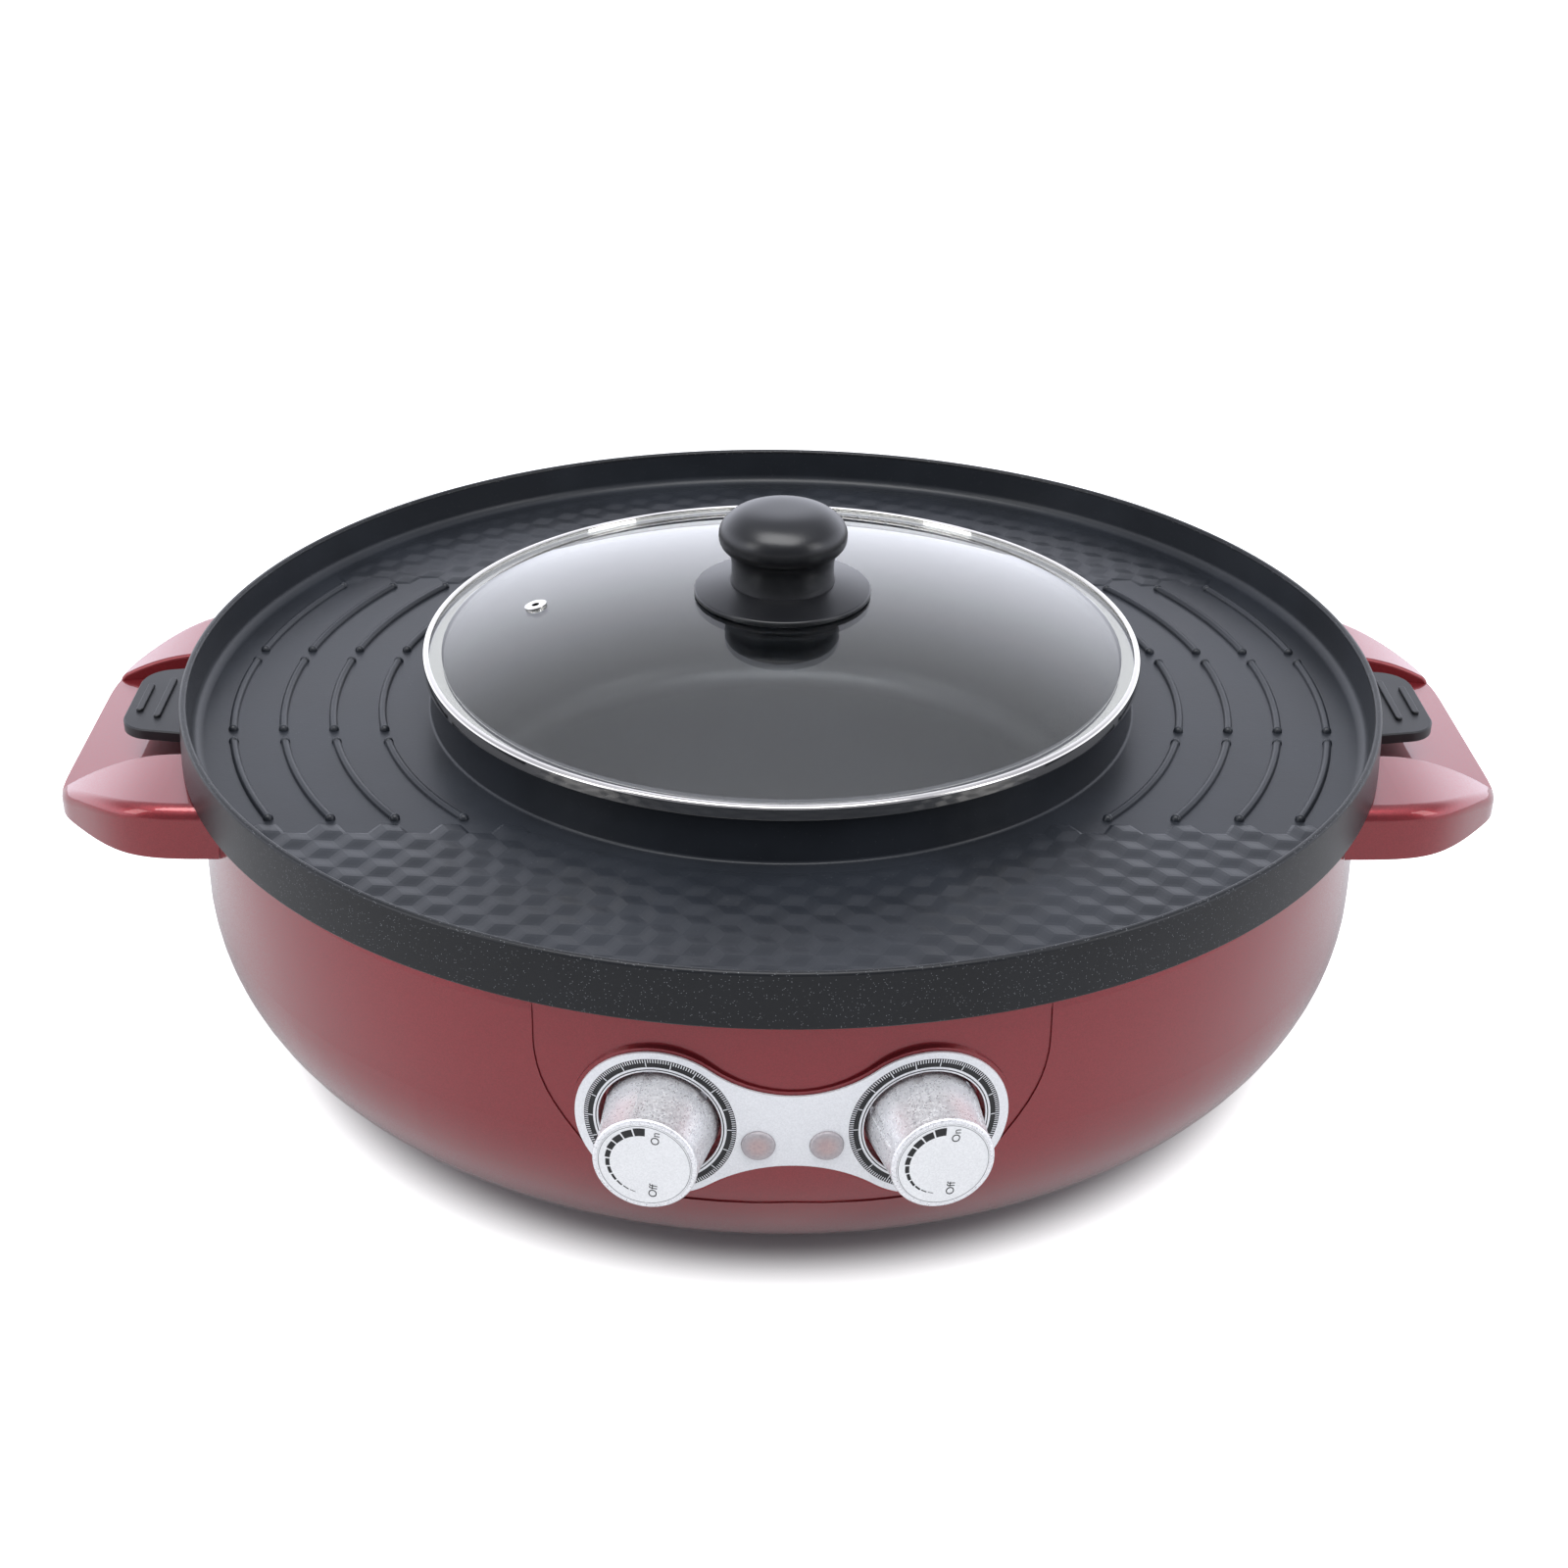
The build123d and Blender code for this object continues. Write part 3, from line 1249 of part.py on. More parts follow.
# ================================================================ export
pieces = {
    "pan": pan,
    "pan_ear_right": pan_ear_right,
    "pan_ear_left": pan_ear_left,
    "ear_screws": ear_screws,
    "lid_rim": lid_rim,
    "lid_glass": lid_glass,
    "lid_vent_eyelet": lid_vent_eyelet,
    "lid_knob_skirt": lid_knob_skirt,
    "lid_knob": lid_knob,
    "lid_washer": lid_washer,
    "lid_screw": lid_screw,
    "base_shell": base_shell,
    "side_handle_right": side_handle_right,
    "side_handle_left": side_handle_left,
    "handle_screws": handle_screws,
    "control_plate": control_plate,
    "hotpot_lamp_lens": hotpot_lamp_lens,
    "grill_lamp_lens": grill_lamp_lens,
    "neon_lamps": neon_lamps,
    "hotpot_thermostat": hotpot_thermostat,
    "grill_thermostat": grill_thermostat,
    "thermostat_nuts": thermostat_nuts,
    "hotpot_knob": hotpot_knob,
    "hotpot_knob_cap": hotpot_knob_cap,
    "hotpot_shaft": hotpot_shaft,
    "grill_knob": grill_knob,
    "grill_knob_cap": grill_knob_cap,
    "grill_shaft": grill_shaft,
    "heat_liner": heat_liner,
    "pot_liner": pot_liner,
    "drain_chute": drain_chute,
    "grill_heater": grill_heater,
    "pot_heater": pot_heater,
    "heater_clips": heater_clips,
    "thermal_fuse": thermal_fuse,
    "mains_inlet": mains_inlet,
    "inlet_pins": inlet_pins,
    "terminal_block": terminal_block,
    "bottom_cover": bottom_cover,
    "cover_screw_set": cover_screw_set,
    "rubber_feet": rubber_feet,
    "oil_tray_guide": oil_tray_guide,
    "oil_tray": oil_tray,
}
os.makedirs("parts", exist_ok=True)
for name, piece in pieces.items():
    piece.part.label = name
    export_step(piece.part, f"parts/{name}.step")
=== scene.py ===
import bmesh
import bpy
from math import asin, ceil, cos, degrees, pi, radians, sin, sqrt, tan
from mathutils import Matrix, Vector


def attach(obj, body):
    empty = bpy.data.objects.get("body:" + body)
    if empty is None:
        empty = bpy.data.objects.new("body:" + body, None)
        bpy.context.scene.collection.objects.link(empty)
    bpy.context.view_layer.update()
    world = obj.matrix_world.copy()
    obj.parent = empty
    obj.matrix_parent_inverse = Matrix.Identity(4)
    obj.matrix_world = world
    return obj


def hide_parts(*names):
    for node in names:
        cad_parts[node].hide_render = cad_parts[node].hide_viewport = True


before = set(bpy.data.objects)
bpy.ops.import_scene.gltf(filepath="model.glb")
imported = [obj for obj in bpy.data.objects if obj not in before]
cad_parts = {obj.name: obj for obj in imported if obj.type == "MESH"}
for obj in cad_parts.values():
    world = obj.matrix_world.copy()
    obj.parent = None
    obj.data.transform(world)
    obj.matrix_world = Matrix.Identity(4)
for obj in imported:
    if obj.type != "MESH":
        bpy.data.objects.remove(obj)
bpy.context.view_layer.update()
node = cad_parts

bl_info = {
    "name": "Hot pot with ring grill",
    "version": (1, 0, 0),
    "blender": (4, 5, 0),
    "location": "3D View > Sidebar > Hot pot",
    "description": "Finishes for a round electric hot pot with a ring grill and a glass lid",
    "category": "Object",
}

# The constants below are in millimetres and degrees, unless they say otherwise.
MM = 0.001
TROUGH_FLOOR = 125.0            # height of the grill's floor
PLATE_RADIUS = 218.45           # outer face of the control plate
KNOB_OFFSET = 41.3              # from the middle to a knob's axis, on each side
KNOB_HEIGHT = 80.0
CAP_REACH = 20.8                # from the plate to the face of a knob's cap
LENS_OFFSET = 10.6              # from the middle to a lens, on each side
LENS_HEIGHT = 74.6


# ---------------------------------------------------------------- node graphs
class Value:
    """A socket of a node tree that can stand in a sum."""

    def __init__(self, graph, socket):
        self.graph, self.socket = graph, socket

    def maths(self, operation, *others):
        """Result of a Math node on this value and the others."""
        return self.graph.node("ShaderNodeMath", {"operation": operation}, [self, *others])

    def __add__(self, other):
        return self.maths("ADD", other)

    __radd__ = __add__

    def __sub__(self, other):
        return self.maths("SUBTRACT", other)

    def __rsub__(self, other):
        return self.graph.node("ShaderNodeMath", {"operation": "SUBTRACT"}, [other, self])

    def __mul__(self, other):
        return self.maths("MULTIPLY", other)

    __rmul__ = __mul__

    def __truediv__(self, other):
        return self.maths("DIVIDE", other)

    def __pow__(self, other):
        return self.maths("POWER", other)

    def above(self, level):
        return self.maths("GREATER_THAN", level)

    def below(self, level):
        return self.maths("LESS_THAN", level)

    def least(self, other):
        return self.maths("MINIMUM", other)

    def clamped(self):
        return self.graph.node("ShaderNodeClamp", {}, [self])

    def fade(self, low, high):
        """0 at low, 1 at high, and smooth between them."""
        return self.graph.node(
            "ShaderNodeMapRange", {"interpolation_type": "SMOOTHSTEP"},
            {"Value": self, "From Min": low, "From Max": high},
        )


class Graph:
    """A node tree, with one method that adds any node and short forms of the usual ones."""

    def __init__(self, tree):
        self.tree = tree

    def node(self, kind, settings=None, inputs=None, output=0):
        """Adds a node with its settings and inputs, and gives one of its outputs."""
        made = self.tree.nodes.new(kind)
        for name, value in (settings or {}).items():
            setattr(made, name, value)
        pairs = inputs.items() if isinstance(inputs, dict) else enumerate(inputs or [])
        for name, value in pairs:
            socket = made.inputs[name]
            if isinstance(value, Value):
                self.tree.links.new(value.socket, socket)
            else:
                socket.default_value = value
        return Value(self, made.outputs[output])

    def mix(self, factor, low, high):
        """Colour between low and high."""
        low, high = [(*c, 1.0) if isinstance(c, tuple) else c for c in (low, high)]
        return self.node("ShaderNodeMix", {"data_type": "RGBA"}, {0: factor, 6: low, 7: high}, 2)

    def noise(self, where, scale, detail=2.0, roughness=0.5):
        """Cloudy value between 0 and 1."""
        return self.node("ShaderNodeTexNoise", {"noise_dimensions": "3D"}, {
            "Vector": where, "Scale": scale, "Detail": detail, "Roughness": roughness})

    def cells(self, where, scale, output="Distance"):
        """Distance from the middle of the nearest cell, or that cell's colour."""
        return self.node("ShaderNodeTexVoronoi", {}, {"Vector": where, "Scale": scale}, output)

    def flakes(self, where, scale):
        """A random value between 0 and 1 for each cell."""
        return self.parts(self.cells(where, scale, "Color"))[0]

    def stretched(self, where, scale):
        """A vector with each coordinate times its own factor."""
        return self.node("ShaderNodeVectorMath", {"operation": "MULTIPLY"}, [where, scale])

    def place(self):
        """The point's own coordinates, in metres."""
        return self.node("ShaderNodeTexCoord", output="Object")

    def ray(self, kind):
        """1 for rays of one kind and 0 for all others."""
        return self.node("ShaderNodeLightPath", output=kind)

    def parts(self, where):
        """The three coordinates of a vector."""
        split = self.node("ShaderNodeSeparateXYZ", {}, [where])
        outputs = split.socket.node.outputs
        return [Value(self, outputs[i]) for i in range(3)]

    def vector(self, x, y, z):
        """One vector from three coordinates."""
        return self.node("ShaderNodeCombineXYZ", {}, [x, y, z])

    def join(self, *pieces):
        """One geometry from several."""
        made = self.tree.nodes.new("GeometryNodeJoinGeometry")
        for piece in pieces:
            self.tree.links.new(piece.socket, made.inputs[0])
        return Value(self, made.outputs[0])

    def bump(self, height, strength, distance):
        """Normal of a surface with a fine relief."""
        return self.node("ShaderNodeBump", {}, {
            "Height": height, "Strength": strength, "Distance": distance})


def shade(colour, factor):
    """A colour times a factor, up to white."""
    return tuple(min(1.0, c * factor) for c in colour)


def finish(name, **fixed):
    """A new material: its graph and its shader with fixed values."""
    material = bpy.data.materials.new(name)
    material.use_nodes = True
    tree = material.node_tree
    shader = tree.nodes["Principled BSDF"]
    for key, value in fixed.items():
        socket = shader.inputs[key.replace("_", " ").title().replace("Ior", "IOR")]
        socket.default_value = (*value, 1.0) if isinstance(value, tuple) else value
    return material, Graph(tree), shader


def drive(shader, graph, **links):
    """Links values that change over the surface to the shader."""
    for key, value in links.items():
        graph.tree.links.new(value.socket, shader.inputs[key.replace("_", " ").title()])


# ---------------------------------------------------------------- finishes
OUTER_WALL = (219.3, 140.5)     # the outer wall's painted shade and its denser painted glints start past this radius, under this height


def coated_casting(colours):
    """Black non-stick coating over a blasted casting, with a few bright specks all over; on the
    outer wall, painted shade darkens it and more, brighter specks are painted glints.
    """
    material, graph, shader = finish("coated_casting", specular_ior_level=0.31)
    where = graph.place()
    x, y, z = graph.parts(where)
    radius, top = OUTER_WALL
    wall_shade_and_glints = ((x * x + y * y) ** 0.5).above(radius * MM) * z.below(top * MM)
    speck = graph.flakes(where, 2600.0)
    near = graph.cells(where, 2600.0)
    # Painted glints: the specks are denser on the outer wall.
    spot = speck.above(0.988 - 0.060 * wall_shade_and_glints) * near.below(0.34)
    cloud = graph.noise(where, 26.0, 3.0)
    dark = tuple(colours.coating)
    base = graph.mix(cloud.fade(0.35, 0.7), dark, shade(dark, 1.4))
    # Painted shade: the outer wall is darkened to 40 per cent of the coating's colour, and its
    # specks are brighter there as painted glints.
    base = graph.mix(0.6 * wall_shade_and_glints, base, (0.0, 0.0, 0.0))
    base = graph.mix(spot * (0.35 + 0.5 * wall_shade_and_glints), base, tuple(colours.speck))
    grain = graph.noise(where, 1500.0, 2.0, 0.6)
    swell = graph.noise(where, 300.0, 2.0)
    drive(shader, graph, base_color=base, roughness=0.31 + 0.10 * cloud - 0.10 * spot,
          normal=graph.bump(grain + 0.8 * swell, 0.24, 0.00008))
    return material


def black_plastic(colours, name, gloss, grain=900.0, level=1.0):
    """Satin black moulded plastic with a fine spark-eroded grain."""
    material, graph, shader = finish(name, specular_ior_level=0.42)
    where = graph.place()
    cloud = graph.noise(where, 40.0, 3.0)
    dark = shade(colours.plastic, level)
    base = graph.mix(cloud, dark, shade(dark, 1.5))
    drive(shader, graph, base_color=base, roughness=gloss - 0.05 + 0.12 * cloud,
          normal=graph.bump(graph.noise(where, grain, 2.0), 0.12, 0.00008))
    return material


def red_lacquer(colours):
    """Dark red metallic paint under a clear coat."""
    material, graph, shader = finish("red_lacquer", coat_weight=1.0, coat_roughness=0.03,
                                     coat_ior=1.45, metallic=0.75)
    where = graph.place()
    flake = graph.flakes(where, 3400.0)
    cloud = graph.noise(where, 9.0, 3.0)
    red = tuple(colours.lacquer)
    base = graph.mix(0.45 * flake + 0.3 * cloud, shade(red, 0.75), shade(red, 1.4))
    drive(shader, graph, base_color=base, roughness=0.30 + 0.12 * flake,
          normal=graph.bump(graph.noise(where, 120.0, 2.0), 0.04, 0.0001))
    return material


def plain_metal(name, colour, gloss, brushed=None, uneven=0.14):
    """Bare metal, brushed along one axis or with a fine even grain."""
    material, graph, shader = finish(name, metallic=1.0)
    where = graph.place()
    if brushed:
        streak = graph.noise(graph.stretched(where, brushed), 1.0, 3.0, 0.6)
    else:
        streak = graph.noise(where, 900.0, 3.0, 0.6)
    cloud = graph.noise(where, 35.0, 3.0)
    base = graph.mix(0.7 * streak + 0.3 * cloud, shade(colour, 0.88), shade(colour, 1.08))
    drive(shader, graph, base_color=base, roughness=gloss + uneven * (streak - 0.5))
    return material


def silver_paint(name, colour, gloss, grain, metallic=0.55):
    """Pale silver paint, partly metallic, with fine flakes."""
    material, graph, shader = finish(name, metallic=metallic)
    where = graph.place()
    flake = graph.flakes(where, 2600.0)
    cloud = graph.noise(where, 60.0, 3.0)
    base = graph.mix(0.6 * flake + 0.4 * cloud, shade(colour, 0.88), shade(colour, 1.08))
    drive(shader, graph, base_color=base, roughness=gloss + 0.10 * (flake - 0.5),
          normal=graph.bump(flake, grain, 0.00005))
    return material


def knob_plating(colours):
    """Silver plating over a blasted knob, with a lively fine grain."""
    material, graph, shader = finish("knob_plating", metallic=0.70)
    where = graph.place()
    sparkle = graph.flakes(where, 2300.0)
    coarse = graph.noise(where, 700.0, 3.0, 0.7)
    bright = tuple(colours.knob)
    base = graph.mix(0.55 * sparkle + 0.45 * coarse, shade(bright, 0.74), shade(bright, 1.25))
    drive(shader, graph, base_color=base, roughness=0.26 + 0.20 * sparkle,
          normal=graph.bump(sparkle + coarse, 0.28, 0.00012))
    return material


def clear_glass(colours):
    """Clear tempered glass with a faint cool tint and slight smears."""
    material, graph, shader = finish("clear_glass", base_color=tuple(colours.glass),
                                     ior=1.5, transmission_weight=1.0)
    where = graph.place()
    smear = graph.noise(graph.stretched(where, (14.0, 40.0, 20.0)), 1.0, 4.0, 0.6)
    drive(shader, graph, roughness=0.025 * smear.fade(0.5, 0.85))
    return material


LENS_SPOT = (5.0, 1.2)          # radii where the redder middle starts and where it is full


def frosted_lens(colours):
    """Frosted pinkish lens, redder round its middle."""
    material, graph, shader = finish("frosted_lens", roughness=0.42,
                                     coat_weight=0.35, coat_roughness=0.2)
    where = graph.place()
    x, _, z = graph.parts(where)
    side = (x * x) ** 0.5 - LENS_OFFSET * MM
    rise = z - LENS_HEIGHT * MM
    spot = ((side * side + rise * rise) ** 0.5).fade(*(r * MM for r in LENS_SPOT))
    dots = graph.flakes(where, 1500.0)
    base = graph.mix(spot * (0.5 + 0.5 * dots), tuple(colours.lens), tuple(colours.lens_glow))
    base = graph.mix(0.30 * dots, base, (0.62, 0.60, 0.59))
    drive(shader, graph, base_color=base, normal=graph.bump(dots, 0.35, 0.00012))
    return material


def plain_paint(name, colour, gloss):
    """Flat ink, plastic or rubber with a little unevenness."""
    material, graph, shader = finish(name, roughness=gloss)
    cloud = graph.noise(graph.place(), 300.0, 2.0)
    drive(shader, graph, base_color=graph.mix(cloud, shade(colour, 0.85), shade(colour, 1.15)))
    return material


# ---------------------------------------------------------------- mesh helpers
def add_piece(name, mesh, body, materials, replaced=(), sharp=35.0):
    """Puts a finished mesh into the scene on its body."""
    piece = bpy.data.objects.new(name, mesh)
    bpy.context.scene.collection.objects.link(piece)
    for material in materials:
        mesh.materials.append(material)
    if sharp:
        mesh.shade_smooth()
        mesh.set_sharp_from_angle(angle=radians(sharp))
    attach(piece, body)
    if replaced:
        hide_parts(*replaced)


def paint(name, material):
    """Gives a solid from the frame its finish."""
    materials = node[name].data.materials
    materials.clear()
    materials.append(material)


def mesh_of(verts, faces, name="mesh"):
    """A mesh from plain lists of points and faces."""
    made = bpy.data.meshes.new(name)
    made.from_pydata([tuple(v) for v in verts], [], [tuple(f) for f in faces])
    made.update()
    return made


def rounded(outline, arc_step=9.0):
    """Closed outline of ((r, z), corner radius) as points, with arcs of small steps at corners."""
    points = []
    count = len(outline)
    for i, (corner, radius) in enumerate(outline):
        here = Vector(corner)
        before = (Vector(outline[i - 1][0]) - here).normalized()
        after = (Vector(outline[(i + 1) % count][0]) - here).normalized()
        angle = before.angle(after)
        if radius <= 0:
            points.append(here)
            continue
        reach = radius / tan(angle / 2)
        centre = here + (before + after).normalized() * (radius / sin(angle / 2))
        start, end = here + before * reach - centre, here + after * reach - centre
        sweep = start.angle_signed(end)
        steps = max(2, ceil(abs(degrees(sweep)) / arc_step))
        for k in range(steps + 1):
            turn = -sweep * k / steps
            points.append(centre + Vector((start.x * cos(turn) - start.y * sin(turn),
                                           start.x * sin(turn) + start.y * cos(turn))))
    return points


def lathe(points, steps):
    """Turns a closed outline of (r, z) in millimetres about the Z axis."""
    verts, faces = [], []
    n = len(points)
    for k in range(steps):
        angle = 2 * pi * k / steps
        verts += [(r * cos(angle) * MM, r * sin(angle) * MM, z * MM) for r, z in points]
        here, beyond = k * n, (k + 1) % steps * n
        for i in range(n):
            j = (i + 1) % n
            faces.append((here + i, beyond + i, beyond + j, here + j))
    made = mesh_of(verts, faces)
    grid = bmesh.new()
    grid.from_mesh(made)
    bmesh.ops.remove_doubles(grid, verts=grid.verts, dist=1e-7)
    bmesh.ops.dissolve_degenerate(grid, edges=grid.edges, dist=1e-7)
    bmesh.ops.recalc_face_normals(grid, faces=grid.faces)
    grid.to_mesh(made)
    grid.free()
    return made


def run_nodes(mesh, tree, values):
    """Plain mesh that a geometry tree makes from a mesh, with the tree's inputs set first."""
    holder = bpy.data.objects.new("holder", mesh)
    bpy.context.scene.collection.objects.link(holder)
    modifier = holder.modifiers.new("nodes", "NODES")
    modifier.node_group = tree
    sockets = {s.name: s.identifier for s in tree.interface.items_tree if s.in_out == "INPUT"}
    for name, value in values.items():
        modifier[sockets[name]] = value
    bpy.context.view_layer.update()
    graph = bpy.context.evaluated_depsgraph_get()
    made = bpy.data.meshes.new_from_object(holder.evaluated_get(graph), depsgraph=graph)
    bpy.data.objects.remove(holder)
    made.materials.clear()
    return made


def new_tree(name, **inputs):
    """A geometry tree with named inputs: its graph and the values of those inputs."""
    tree = bpy.data.node_groups.new(name, "GeometryNodeTree")
    tree.interface.new_socket("Geometry", in_out="INPUT", socket_type="NodeSocketGeometry")
    kinds = {float: "NodeSocketFloat", int: "NodeSocketInt",
             bpy.types.Material: "NodeSocketMaterial"}
    for key, value in inputs.items():
        socket = tree.interface.new_socket(key, in_out="INPUT", socket_type=kinds[type(value)])
        socket.default_value = value
    tree.interface.new_socket("Geometry", in_out="OUTPUT", socket_type="NodeSocketGeometry")
    graph = Graph(tree)
    entry = tree.nodes.new("NodeGroupInput")
    values = {socket.name: Value(graph, socket) for socket in entry.outputs if socket.name}
    return graph, values


def close_tree(graph, geometry, material):
    """Realises the instances, sets their material and ends the tree."""
    real = graph.node("GeometryNodeRealizeInstances", {}, [geometry])
    painted = graph.node("GeometryNodeSetMaterial", {}, {"Geometry": real, "Material": material})
    leave = graph.tree.nodes.new("NodeGroupOutput")
    graph.tree.links.new(painted.socket, leave.inputs[0])
    return graph.tree


# ---------------------------------------------------------------- settings
class HOTPOT_PG_sizes(bpy.types.PropertyGroup):
    """Sizes of the visible detail."""

    cell: bpy.props.FloatProperty(
        name="Relief cell", description="Side of one cell of the diamond relief",
        default=0.00693, min=0.003, unit="LENGTH")
    relief: bpy.props.FloatProperty(
        name="Relief height", description="Height of the diamond relief",
        default=0.00044, min=0.0, unit="LENGTH")
    rib_width: bpy.props.FloatProperty(
        name="Rib width", description="Width of a rib of the grill",
        default=0.0030, min=0.001, unit="LENGTH")
    rib_height: bpy.props.FloatProperty(
        name="Rib height", description="Height of a rib of the grill",
        default=0.0016, min=0.0005, unit="LENGTH")
    rib_rows: bpy.props.IntProperty(
        name="Rib rows", description="Rows of ribs on each side of the pot",
        default=4, min=1)
    fine_ticks: bpy.props.IntProperty(
        name="Fine ticks", description="Fine ticks round each scale",
        default=180, min=1)
    long_ticks: bpy.props.IntProperty(
        name="Long ticks", description="Long ticks round each scale",
        default=18, min=1)
    letter: bpy.props.FloatProperty(
        name="Letter height", description="Height of the words on the knob caps",
        default=0.0026, min=0.001, unit="LENGTH")


class HOTPOT_PG_colours(bpy.types.PropertyGroup):
    """Colours of the finishes."""

    coating: bpy.props.FloatVectorProperty(
        name="Coating", description="Non-stick coating of the pan",
        default=(0.0100, 0.0118, 0.0150), subtype="COLOR", size=3)
    speck: bpy.props.FloatVectorProperty(
        name="Specks", description="Bright specks in the coating",
        default=(0.20, 0.21, 0.22), subtype="COLOR", size=3)
    plastic: bpy.props.FloatVectorProperty(
        name="Plastic", description="Black plastic of the knob and the ears",
        default=(0.0075, 0.0080, 0.0095), subtype="COLOR", size=3)
    lacquer: bpy.props.FloatVectorProperty(
        name="Lacquer", description="Red paint of the bowl and the handles",
        default=(0.205, 0.015, 0.020), subtype="COLOR", size=3)
    plate: bpy.props.FloatVectorProperty(
        name="Plate", description="Silver of the control plate",
        default=(0.80, 0.81, 0.82), subtype="COLOR", size=3)
    knob: bpy.props.FloatVectorProperty(
        name="Knob", description="Silver of the control knobs",
        default=(0.84, 0.85, 0.88), subtype="COLOR", size=3)
    cap: bpy.props.FloatVectorProperty(
        name="Cap", description="Silver of the knob caps",
        default=(0.84, 0.85, 0.85), subtype="COLOR", size=3)
    steel: bpy.props.FloatVectorProperty(
        name="Steel", description="Stainless band of the lid",
        default=(0.62, 0.60, 0.57), subtype="COLOR", size=3)
    glass: bpy.props.FloatVectorProperty(
        name="Glass", description="Tint of the lid's glass",
        default=(0.93, 0.955, 0.97), subtype="COLOR", size=3)
    lens: bpy.props.FloatVectorProperty(
        name="Lens", description="Edge of the lamp lenses",
        default=(0.37, 0.335, 0.35), subtype="COLOR", size=3)
    lens_glow: bpy.props.FloatVectorProperty(
        name="Lens middle", description="Middle of the lamp lenses",
        default=(0.47, 0.29, 0.27), subtype="COLOR", size=3)


class HOTPOT_PG_stage(bpy.types.PropertyGroup):
    """Floor, light and camera."""

    lens: bpy.props.FloatProperty(
        name="Focal length", description="Focal length of the camera in millimetres",
        default=54.0, min=20.0)
    key: bpy.props.FloatProperty(
        name="Key light", description="Power of the large light above",
        default=19.0, min=0.0)
    fill: bpy.props.FloatProperty(
        name="Side lights", description="Power of the lights at the sides",
        default=5.0, min=0.0)
    sky: bpy.props.FloatProperty(
        name="Sky", description="Brightness of the room",
        default=1.0, min=0.0)


# ---------------------------------------------------------------- pan
# Half section of the casting, as ((r, z), corner radius): ring trough and pot.
PAN = [
    ((223.0, 120.5), 0.8), ((222.0, 140.0), 1.2), ((219.4, 140.0), 1.2),
    ((218.4, TROUGH_FLOOR), 4.0), ((132.0, TROUGH_FLOOR), 1.2), ((131.0, 142.0), 0.8),
    ((128.2, 142.0), 1.0), ((126.2, 70.0), 13.2), ((0.0, 70.0), 0.0), ((0.0, 66.0), 0.0),
    ((129.0, 66.0), 16.0), ((131.0, 120.5), 3.0),
]
DRAIN_PLACE = (0.0, 196.0)
DRAIN_RADIUS = 9.0
SPOUT = [(11.5, 121.0), (11.5, 113.6), (DRAIN_RADIUS, 113.6), (DRAIN_RADIUS, 121.0)]
RIB_RADIUS = 150.0              # innermost row
RIB_PITCH = 18.0                # from row to row
RIB_SPANS = ((-101.5, -44.5), (-34.5, 24.0), (34.0, 96.0))      # front and rear end of each rib
RIB_STEP = 1.6                  # along a centre line
BULB_SHARE = 0.62               # radius of a rib's end, as a share of its width
RELIEF_FIELDS = (("relief_front", -1.0, 0.110), ("relief_rear", 1.0, 0.104))    # side, start in m
RELIEF_COLUMNS, RELIEF_ROWS = 44, 12
RELIEF_MIDDLE = 0.055           # from the start of a field to its middle, in metres


def cut_hole(mesh, x, y, radius, low, high):
    """Cuts a round upright hole through a mesh."""
    body = bpy.data.objects.new("body", mesh)
    cutter_mesh = bpy.data.meshes.new("cutter")
    grid = bmesh.new()
    middle = Matrix.Translation((x * MM, y * MM, (low + high) / 2 * MM))
    bmesh.ops.create_cone(grid, cap_ends=True, segments=64, radius1=radius * MM,
                          radius2=radius * MM, depth=(high - low) * MM, matrix=middle)
    grid.to_mesh(cutter_mesh)
    grid.free()
    cutter = bpy.data.objects.new("cutter", cutter_mesh)
    for thing in (body, cutter):
        bpy.context.scene.collection.objects.link(thing)
    modifier = body.modifiers.new("cut", "BOOLEAN")
    modifier.operation, modifier.solver, modifier.object = "DIFFERENCE", "EXACT", cutter
    bpy.context.view_layer.update()
    graph = bpy.context.evaluated_depsgraph_get()
    made = bpy.data.meshes.new_from_object(body.evaluated_get(graph), depsgraph=graph)
    bpy.data.objects.remove(body)
    bpy.data.objects.remove(cutter)
    return made


def rib_paths(sizes):
    """Centre lines of the ribs as bare edges: arcs round the pot, in rows on both sides."""
    verts, edges = [], []
    for row in range(sizes.rib_rows):
        radius = (RIB_RADIUS + RIB_PITCH * row) * MM
        for front, rear in RIB_SPANS:
            start, end = asin(front * MM / radius), asin(rear * MM / radius)
            steps = max(12, int((end - start) * radius / (RIB_STEP * MM)))
            for mirror in (1, -1):
                for k in range(steps + 1):
                    angle = start + (end - start) * k / steps
                    verts.append((mirror * radius * cos(angle), radius * sin(angle),
                                  TROUGH_FLOOR * MM))
                    if k:
                        edges.append((len(verts) - 2, len(verts) - 1))
    made = bpy.data.meshes.new("rib_paths")
    made.from_pydata(verts, edges, [])
    return made


